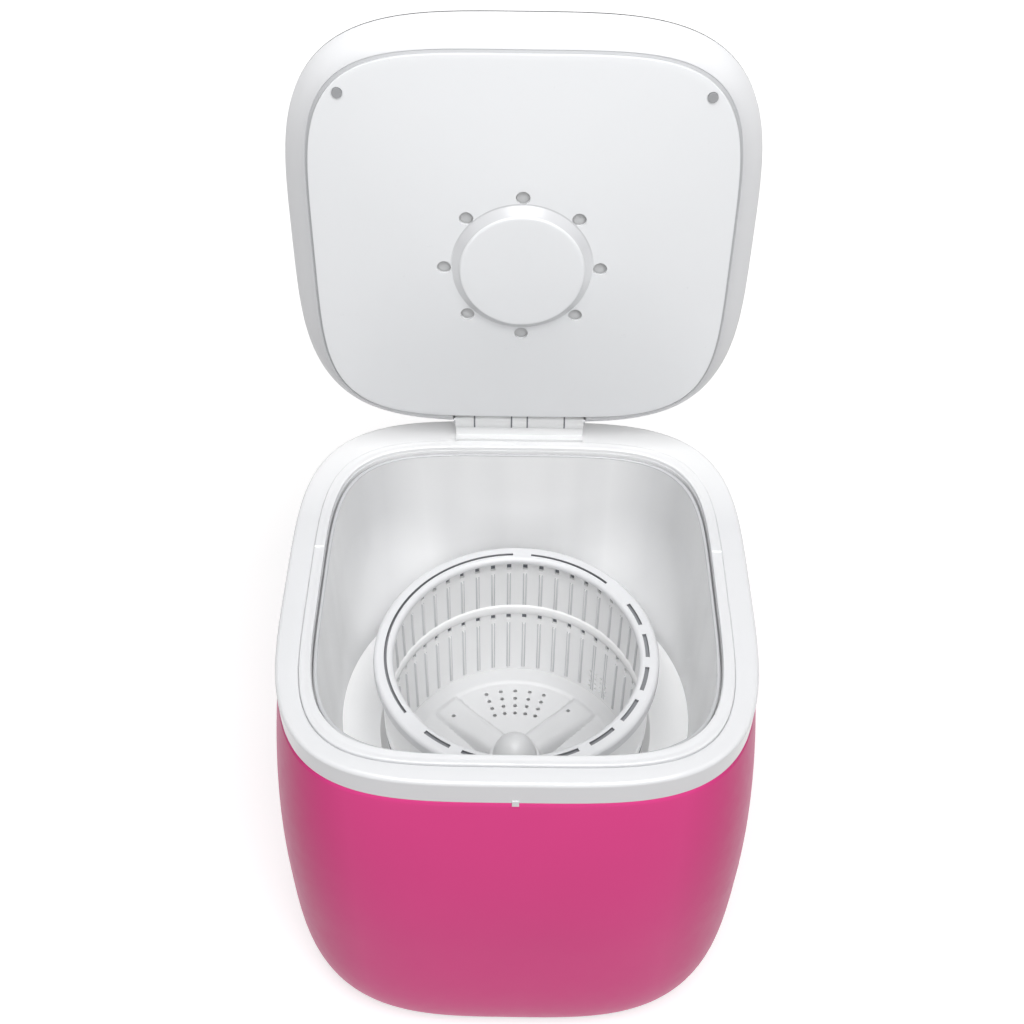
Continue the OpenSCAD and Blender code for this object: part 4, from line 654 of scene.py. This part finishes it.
def panelRing(f, grow, z):
    r = vents["ring"] + vents["r"] + vents["land"]
    return outline(lerp(lid["panelW"], r, f) + grow, lerp(lid["panelD"], r, f) + grow,
                   lerp(lid["panelSquare"], 2, f), lerp(lid["y"], 0, f), z)


def makeLidTop():
    seam, wall, strip, hole = lid["seam"], lid["wall"], lid["strip"], lid["shaftR"]
    inset, rise = lid["edgeIn"], lid["edgeH"]
    ups = [i / 14 for i in range(15)]
    rings = [topRing(f, topZ(f) - wall) for f in reversed(ups)]
    for a in (80, 65, 50, 35, 20, 5):
        x, z = polar(1, a)
        rings.append(lidRing(-wall - (inset - wall) * (1 - x), seam + (rise - wall) * z))
    rings += [lidRing(-wall, seam + strip), lidRing(-0.6, seam + strip), lidRing(-0.3, seam + strip + 0.1)]
    for a in (12, 18, 25, 34, 43, 52, 61, 70, 79):
        x, z = polar(1, a)
        rings.append(lidRing(-inset * (1 - x), seam + rise * z))
    rings += [topRing(f, topZ(f)) for f in ups]
    rings += [roundRing(r, topZ(1)) for r in (40, 25, 12, hole)]
    rings += [roundRing(r, topZ(1) - wall) for r in (hole, 25)]
    piece = loftMesh("lidShell", rings, finishes["lid"])
    clearHinge(piece, notch["shell"])
    return swingLid(piece)


def makeLidRim():
    seam, drop = lid["seam"], lid["drop"]
    power = 2 / lid["rimCurve"]
    turns = [polar(1, a) for a in (90, 86, 81, 76, 70, 64, 58, 52, 46, 40, 34, 28, 22, 16, 10, 5, 0)]
    # section: (share of the way in to the panel, height from the seam)
    section = [(1 - x ** power, -drop * z ** power) for x, z in turns]
    section += [(0.03, -0.02), (0.16, -0.3), (0.32, -4.5), (0.72, -10.5)]
    section += [(1.05, 1.5 - drop), (1.02, 0.3 - drop)]
    piece = loftMesh("lidRimSkin", [rimRing(f, seam + h) for f, h in section], finishes["rim"], 50)
    clearHinge(piece, notch["rim"])
    near = []  # 1 at the panel, nearly 0 at the lid's edge
    for v in piece.data.vertices:
        x, y = v.co.x / mm, v.co.y / mm - lid["y"]
        n = lid["panelSquare"]
        share = (abs(x / lipW) ** n + abs(y / lipD) ** n) ** (1 / n)
        near.append(min(1.0, max(0.0, 1 - (1 - 1 / share) * math.hypot(x, y) / lid["rimW"])))
    piece.data.attributes.new("edge", "FLOAT", "POINT").data.foreach_set("value", near)
    return swingLid(piece)


def makeLidPanel():
    face, wall, high, disc, edge = lid["face"], lid["wall"], lid["panelH"], lid["disc"], lid["discEdge"]
    ventZ = face - lid["fall"]
    discZ = ventZ - lid["discOut"]
    foot = vents["ring"] - vents["r"] - 0.6
    rings = [roundRing(r, discZ) for r in (0.01, 12, 24, 36, 43)]
    for i in range(7):  # rounded edge of the disc
        a = math.radians(90 * i / 6)
        rings.append(roundRing(disc - 2 + 2 * math.sin(a), discZ + edge - edge * math.cos(a)))
    rings += [roundRing(lerp(disc, foot, f), lerp(discZ + edge, ventZ, f)) for f in (0.2, 0.4, 0.6, 0.8)]
    rings += [roundRing(foot, ventZ), roundRing(foot + 5, ventZ)]
    rings += [panelRing(f, 0, face - lid["fall"] * f) for f in [1 - i / 24 for i in range(24)]]
    rings += [panelRing(0, g, z) for g, z in arc(-0.5, face + 0.5, 0.5, -90, 0, 4)]
    rings += [panelRing(0, 0, face + h) for h in (4, 9, high - 0.5, high)]
    rings += [panelRing(0, -wall, face + high), panelRing(0, -wall, face + wall)]
    rings += [panelRing(f, 0, face - lid["fall"] * f + wall) for f in (0.1, 0.3, 0.5, 0.7, 0.9, 1)]
    rings += [roundRing(foot - 1, ventZ + wall)]
    rings += [roundRing(r, discZ + wall) for r in (disc - 1, 0.01)]
    piece = loftMesh("lidPanelSkin", rings, finishes["panel"])
    places = [polar(vents["ring"], 360 / vents["count"] * i) for i in range(vents["count"])]
    holes = [(placeAt(x, y, ventZ - 2), vents["r"], vents["deep"]) for x, y in places]
    screws = [placeAt(side * lidScrew["x"], lid["y"] - lidScrew["y"], face - 4) for side in (-1, 1)]
    holes += [(way, lidScrew["r"], lidScrew["deep"]) for way in screws]
    drill(piece, holes)
    return swingLid(piece)


def makeVentShade():
    # painted shade: a grey ring right behind the vents darkens the holes, where the lid's hollow lies in
    # shade
    low = lid["face"] - lid["fall"] + ventShade["up"]
    high = low + ventShade["t"]
    near, far = vents["ring"] - ventShade["half"], vents["ring"] + ventShade["half"]
    section = [(near, low), (far, low), (far, high), (near, high)]
    ring = swingLid(lathe("ventShadeRing", section, finishes["ventShade"]))
    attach(ring, "lid")


def makeLidStrips():
    # painted shade: a grey strip in the groove round the panel, and a black one in the seam round the lid,
    # where the groove and the seam's gap lie in shade
    face, seam, high = lid["face"], lid["seam"], lid["strip"]
    groove = [outline(lid["panelW"] + g, lid["panelD"] + g, lid["panelSquare"], lid["y"], face + z)
              for g, z in ((0.1, 2.2), (2.2, 3.6), (2.2, 6), (0.1, 6))]
    edge = [lidRing(g, seam + z) for g, z in ((-0.02, 0.02), (-0.02, high), (-2, high), (-2, 0.02))]
    for name, rings, finish in (("panelStrip", groove, "seam"), ("seamStrip", edge, "black")):
        strip = loftMesh(name, rings, finishes[finish])
        clearHinge(strip, notch["rim"])
        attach(swingLid(strip), "lid")


makeVentShade()
makeLidStrips()
for maker, node in ((makeLidTop, "lid_top"), (makeLidRim, "lid_rim"), (makeLidPanel, "lid_panel")):
    piece = maker()
    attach(piece, "lid")
    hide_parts(node)
print("lid made")


# the spin basket
basket = {"wall": 112.0, "inner": 109.5, "low": 110.1, "floor": 113.1, "ringLow": 265.0, "holes": 48,
          "holeHalf": 2.0, "holeH": 7.0, "ribGap": 5.0, "ribHalf": 0.9, "ribOut": 1.2, "bandMid": 203.0,
          "bandHalf": 6.3, "bandIn": 1.5, "bandOut": 1.0, "ledge": 1.5, "ledgeR": 93.0}
vane = {"half": 14.0, "h": 16.0, "end": 97.0, "root": 30.0, "tail": 9.0, "step": 90, "turn": 45,
        "holeAt": 0.78, "holeTurn": 4}
hub = {"r": 20.0, "low": 126.1, "top": 153.1}
drain = {"r": 1.8, "first": 58.0, "step": 8.5, "rows": 4, "fan": 9.5, "deep": 24}
patch = {"at": 45, "half": 9, "r": 1.4, "step": 3.4, "heights": (10, 17, 24, 31), "deep": 7}
screen = {"gap": 0.05, "t": 0.4, "below": 1, "above": 0.4}


def wallRadii(z):
    # (inner, outer) radius of the wall at a height, with the raised band and the foot
    off = abs(z - basket["bandMid"]) - basket["bandHalf"]
    bulge = ease(-off / 1.6)
    foot = ease((basket["low"] + 4.5 - z) / 0.8)
    return basket["inner"] - basket["bandIn"] * bulge, basket["wall"] + basket["bandOut"] * max(bulge, foot)


def ribHeight(z, rows):
    # how far a rib stands out at a height, with rounded ends
    return max(ease((z - low) / 1.5) * ease(high - z) for low, high in rows)


def within(z, rows):
    return any(low < z < high for low, high in rows)


def wallHeights(windows, ribs, band):
    # every height at which the basket's wall changes
    low = basket["low"]
    zs = {low, low + 3.7, low + 4.1, low + 4.6, basket["ringLow"]}
    zs |= {z for pair in windows for z in pair}
    zs |= {z + d for z, sign in zip(band, (-1, 1)) for d in (0, 0.5 * sign, sign, 1.6 * sign)}
    zs |= {start + d for start, _ in ribs for d in (0.5, 1.0, 1.5)}
    zs |= {end - d for _, end in ribs for d in (0, 0.5, 1.0)}
    return sorted(zs)


def makeBasketWall():
    pitch = 360 / basket["holes"]
    hole, rib = (math.degrees(basket[k] / basket["inner"]) for k in ("holeHalf", "ribHalf"))
    steps = [-hole, -rib - 0.45, -rib + 0.2, rib - 0.2, rib + 0.45, hole, pitch / 2 - 1, pitch / 2 + 1]
    # each upright line: its angle, whether a hole lies after it, whether it is on a rib's crest
    lines = [((k + 0.5) * pitch + a, i < 5, i in (2, 3))
             for k in range(basket["holes"]) for i, a in enumerate(steps)]
    band = [basket["bandMid"] + side * basket["bandHalf"] for side in (1, -1)]
    tops = [basket["ringLow"] - 0.5, band[1] - 0.5]
    windows = [(top - basket["holeH"], top) for top in tops]
    ribTops = [top - basket["holeH"] - basket["ribGap"] for top in tops]
    ribs = [(band[0], ribTops[0]), (basket["floor"] + basket["ledge"] + 3, ribTops[1])]
    zs = wallHeights(windows, ribs, band)
    n, m = len(lines), len(zs)
    verts = []
    for z in zs:
        inner, outer = wallRadii(z)
        most = max(0.0, inner - basket["inner"] + basket["ribOut"])
        out = min(basket["ribOut"] * ribHeight(z, ribs), most)
        for a, _, crest in lines:
            overPatch = z < basket["bandMid"] and abs(a - patch["at"]) < patch["half"]
            verts.append((*polar(inner - out if crest and not overPatch else inner, a), z))
        verts += [(*polar(outer, a), z) for a, _, _ in lines]

    def at(i, k, out):
        return (k * 2 + out) * n + i % n

    def solid(i, k):
        if k < 0 or k >= m - 1:
            return False
        return not (lines[i % n][1] and within((zs[k] + zs[k + 1]) / 2, windows))

    faces, bright, sides = [], set(), set()
    for k in range(m - 1):
        mid = (zs[k] + zs[k + 1]) / 2
        onBand = abs(mid - basket["bandMid"]) < basket["bandHalf"] + 0.6
        inRibs = within(mid, ribs)
        for i in range(n):
            if not solid(i, k):
                continue
            if onBand or inRibs and lines[i][2] and lines[(i + 1) % n][2]:
                bright.add(len(faces) + 1)
            if inRibs and i % len(steps) in (1, 3):
                sides.add(len(faces) + 1)
            faces.append((at(i, k, 1), at(i + 1, k, 1), at(i + 1, k + 1, 1), at(i, k + 1, 1)))
            faces.append((at(i + 1, k, 0), at(i, k, 0), at(i, k + 1, 0), at(i + 1, k + 1, 0)))
            if not solid(i, k - 1):
                faces.append((at(i, k, 0), at(i + 1, k, 0), at(i + 1, k, 1), at(i, k, 1)))
            if not solid(i, k + 1):
                faces.append((at(i + 1, k + 1, 0), at(i, k + 1, 0), at(i, k + 1, 1), at(i + 1, k + 1, 1)))
            if not solid(i - 1, k):
                faces.append((at(i, k, 0), at(i, k, 1), at(i, k + 1, 1), at(i, k + 1, 0)))
            if not solid(i + 1, k):
                faces.append((at(i + 1, k, 1), at(i + 1, k, 0), at(i + 1, k + 1, 0), at(i + 1, k + 1, 1)))
    piece = meshObject("basketWallSkin", verts, faces, finishes["basket"], 30)
    # painted highlight on the band and the ribs' crests, painted shade on the ribs' flanks
    for index, (name, chosen) in enumerate((("raised", bright), ("ribSide", sides)), 1):
        piece.data.materials.append(finishes[name])
        for i in chosen:
            piece.data.polygons[i].material_index = index
    fine = [outward(basket["inner"] - 2, patch["at"] + patch["step"] * c, basket["floor"] + z)
            for c in (-1.5, -0.5, 0.5, 1.5) for z in patch["heights"]]
    drill(piece, [(way, patch["r"], patch["deep"]) for way in fine], 20)
    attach(piece, "basket")
    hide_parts("basket_wall")
    near = basket["wall"] + screen["gap"]
    far = near + screen["t"]
    for low, high in windows:  # painted shade: thin dark strips behind the rows of holes, where the gap outside the basket lies in shade
        low, high = low - screen["below"], high + screen["above"]
        section = [(near, low), (far, low), (far, high), (near, high)]
        strip = lathe("holeShade", section, finishes["screen"], count=192)
        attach(strip, "basket")


def floorHeight(r, degrees):
    # height of the basket floor's top: a raised ledge and four rounded vanes that run into the hub
    ledge = basket["ledge"] * ease((r - basket["ledgeR"] + 1) / 3)
    along, across = polar(r, degrees % vane["step"] - vane["turn"])
    crown = max(0.0, 1 - (across / vane["half"]) ** 4) ** 0.5 if abs(across) < vane["half"] else 0.0
    end, tail = vane["end"], vane["tail"]
    fall = lerp(1.0, 0.3, ease((along - 20) / (0.7 * end))) * (1 - ease((along - end + tail) / tail))
    root = ease((vane["root"] - r) / tail)
    return max(ledge, vane["h"] * fall * crown, vane["h"] * root)


def makeBasketFloor():
    radii = [6, 12, 16, 18.5] + [19.5 + i * 1.5 for i in range(60)] + [basket["inner"] - 0.02]
    count = 360
    verts, faces = [(0, 0, basket["floor"] + vane["h"])], []
    for r in radii:
        verts += [(*polar(r, 360 * i / count), basket["floor"] + floorHeight(r, 360 * i / count))
                  for i in range(count)]
    for i in range(count):
        faces.append((0, 1 + i, 1 + (i + 1) % count))
    for k in range(len(radii) - 1):
        a, b = 1 + k * count, 1 + (k + 1) * count
        for i in range(count):
            j = (i + 1) % count
            faces.append((a + i, b + i, b + j, a + j))
    rim, last = len(verts), len(verts) - count
    verts += [(x, y, basket["low"]) for x, y, _ in verts[last:]]
    for i in range(count):
        j = (i + 1) % count
        faces.append((last + i, rim + i, rim + j, last + j))
    faces.append([rim + count - 1 - i for i in range(count)])
    piece = meshObject("basketFloorSkin", verts, faces, finishes["floor"], 50)
    spots = [(drain["first"] + drain["step"] * row, vane["step"] * quarter + drain["fan"] * c)
             for quarter in range(4) for c in range(-2, 3) for row in range(drain["rows"])]
    spots += [(vane["holeAt"] * vane["end"], vane["step"] * quarter + vane["turn"] + vane["holeTurn"])
              for quarter in range(4)]
    drill(piece, [(placeAt(*polar(r, a), basket["low"] - 1), drain["r"], drain["deep"]) for r, a in spots])
    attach(piece, "basket")
    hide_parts("basket_base")


def makeHub():
    low, top, r = hub["low"], hub["top"], hub["r"]
    turns = [polar(1, a) for a in range(0, 90, 5)]
    section = [(0.01, low - 1), (r, low - 1)]
    section += [(r * x, low + (top - low) * z) for x, z in turns] + [(0.01, top)]
    dome = lathe("hubDome", section, finishes["floor"], smooth=50)
    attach(dome, "basket")
    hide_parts("hub_cap")


makeBasketWall()
makeBasketFloor()
makeHub()
print("basket made")


# finishes of the CAD nodes that stay, and the width of a soft edge on some, in millimetres
nodeFinish = {
    "collar": ["front_clip"],
    "white": ["hinge_bracket", "hinge_arms", "timer_knob", "terminal_box"],
    "ring": ["balance_ring"],
    "cap": ["lid_screws"],
    "tub": ["drain_grille", "pulsator"],
    "grey": ["lid_frame", "dial_plate", "capacitor", "drain_spigot"],
    "black": ["cord_gland", "gland_nut", "reed_switch", "timer_body", "base_pan"],
    "rubber": ["shaft_seal", "foot_ring", "drive_belt", "drain_elbow"],
    "steel": ["bearing_bolts", "base_screws", "motor_plate", "motor_posts", "motor_bolts", "capacitor_clip",
              "hinge_pin", "hinge_screws", "arm_screws", "timer_shaft", "drive_shaft", "pulley_nut",
              "pulsator_screw", "motor_shaft", "motor_rotor", "lid_magnet"],
    "alloy": ["bearing_housing", "large_pulley", "small_pulley", "motor_shield"],
    "can": ["motor_can"],
    "bronze": ["bearing_bushes"],
    "copper": ["motor_stator"],
}
soften = {"hinge_bracket": 0.6, "hinge_arms": 0.5, "front_clip": 0.3, "timer_knob": 0.5, "balance_ring": 0.4,
          "drain_spigot": 0.5, "cord_gland": 0.4, "lid_screws": 0.4}


def dressNode(name, finish):
    obj = nodes[name]
    for slot in obj.material_slots:
        slot.material = finish
    if name in soften:
        bevel = obj.modifiers.new("soften", "BEVEL")
        bevel.width = soften[name] * mm
        bevel.segments = 2
        bevel.limit_method = "ANGLE"
        bevel.angle_limit = math.radians(35)
        bevel.harden_normals = False


for key, names in nodeFinish.items():
    for name in names:
        dressNode(name, finishes[key])
print("CAD nodes dressed")


# the small dark washers between the hinge's knuckles, painted dark as the shade in those gaps
washer = {"at": (6.65, 37.85), "r": 6.95, "bore": 3.2, "half": 0.6}


def makeWashers():
    bore, r, half = washer["bore"], washer["r"], washer["half"]
    section = [(bore, -half), (r, -half), (r, half), (bore, half)]
    for side in (-1, 1):
        for x in washer["at"]:
            place = (side * x, hinge["y"], hinge["z"])
            ring = lathe("hingeWasher", section, finishes["screen"], place, "X", 64)
            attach(ring, "housing")


makeWashers()


# floor, light and camera, in metres
ground = {"half": 6.0, "z": -0.0002, "white": 0.9, "plain": 0.45, "glow": 2.5}


def raySeen(tree, path):
    # 1 for the rays that see the white background
    kinds = [Value(tree, path.outputs["Is %s Ray" % k]) for k in ("Camera", "Glossy", "Transmission")]
    return kinds[0].larger(kinds[1]).larger(kinds[2])


def makeFloor():
    m = Finish("paleFloor")
    x, y, _ = m.axes()
    r = (x * x + y * y) ** 0.5
    # the glow grows away from the object, so its shadow stays and the distance is white
    share = ((r - 0.45) * 2.5).clamp() * 0.12 + ((r - 1.2) * 0.5).clamp() * 0.25 + 0.2
    pale = m.add("BsdfDiffuse", None, Color=rgba(*[ground["white"]] * 3))
    glow = m.add("Emission", None, Color=rgba(1, 1, 1), Strength=ground["glow"])
    plain = m.add("BsdfDiffuse", None, Color=rgba(*[ground["plain"]] * 3))
    seen = raySeen(m.tree, m.add("LightPath"))
    material = m.done(m.mixShader(seen, plain, m.mixShader(share, pale, glow)))
    s, z = ground["half"] / mm, ground["z"] / mm
    plate = meshObject("floor", [(-s, -s, z), (s, -s, z), (s, s, z), (-s, s, z)], [(0, 1, 2, 3)], material)


def makeWorld(strength):
    world = bpy.data.worlds.new("studio")
    bpy.context.scene.world = world
    world.use_nodes = True
    tree = world.node_tree
    tree.nodes.clear()
    back = tree.nodes.new("ShaderNodeBackground")
    seen = raySeen(tree, tree.nodes.new("ShaderNodeLightPath"))
    back.inputs["Color"].default_value = rgba(1, 1, 1)
    plug(tree, back.inputs["Strength"], seen * (1 - strength) + strength)
    end = tree.nodes.new("ShaderNodeOutputWorld")
    tree.links.new(back.outputs[0], end.inputs[0])


# place, target, size, watts, and the spread of the light in degrees
lamps = {
    "softKey": ((0.2, -1.25, 2.1), (0, 0, 0.25), (1.6, 1.3), 31, 180),
    "softTop": ((0.0, -0.35, 2.3), (0, 0, 0.3), (1.3, 1.1), 18, 180),
    "softFront": ((0.0, -2.2, 0.55), (0, 0, 0.2), (1.4, 0.9), 2.5, 180),
    "softLeft": ((-1.5, -0.8, 1.3), (0, 0.1, 0.6), (0.5, 0.5), 0.09, 35),
    "softRight": ((1.5, -0.8, 1.3), (0, 0.1, 0.6), (0.5, 0.5), 0.15, 35),
}


def areaLight(name, at, target, size, power, spread):
    data = bpy.data.lights.new(name, "AREA")
    data.shape = "RECTANGLE"
    data.size, data.size_y = size
    data.energy = power
    data.spread = math.radians(spread)
    lamp = bpy.data.objects.new(name, data)
    lamp.location = at
    lamp.rotation_euler = (Vector(target) - Vector(at)).to_track_quat("-Z", "Y").to_euler()
    bpy.context.scene.collection.objects.link(lamp)


# fitted to the outlines in the photograph: metres, radians, and the lens in millimetres
view = {"at": (-0.0045, -0.7146, 1.1776), "pitch": 0.7991, "yaw": -0.0009, "roll": 0.0125, "lens": 48.74}


def makeCamera():
    data = bpy.data.cameras.new("photoCamera")
    data.sensor_width = 36
    data.lens = view["lens"]
    data.clip_start = 0.01
    cam = bpy.data.objects.new("photoCamera", data)
    bpy.context.scene.collection.objects.link(cam)
    pitch, yaw, roll = view["pitch"], view["yaw"], view["roll"]
    ahead = Vector((math.sin(yaw) * math.cos(pitch), math.cos(yaw) * math.cos(pitch), -math.sin(pitch)))
    right = Vector((math.cos(yaw), -math.sin(yaw), 0))
    up = right.cross(ahead)
    across = math.cos(roll) * right + math.sin(roll) * up
    above = -math.sin(roll) * right + math.cos(roll) * up
    turn = Matrix((across, above, -ahead)).transposed().to_4x4()
    cam.matrix_world = placeAt(*view["at"]) @ turn
    bpy.context.scene.camera = cam


makeFloor()
makeWorld(0.24)
for name, settings in lamps.items():
    areaLight(name, *settings)
makeCamera()
bpy.context.scene.view_settings.view_transform = "Standard"
print("stage ready")
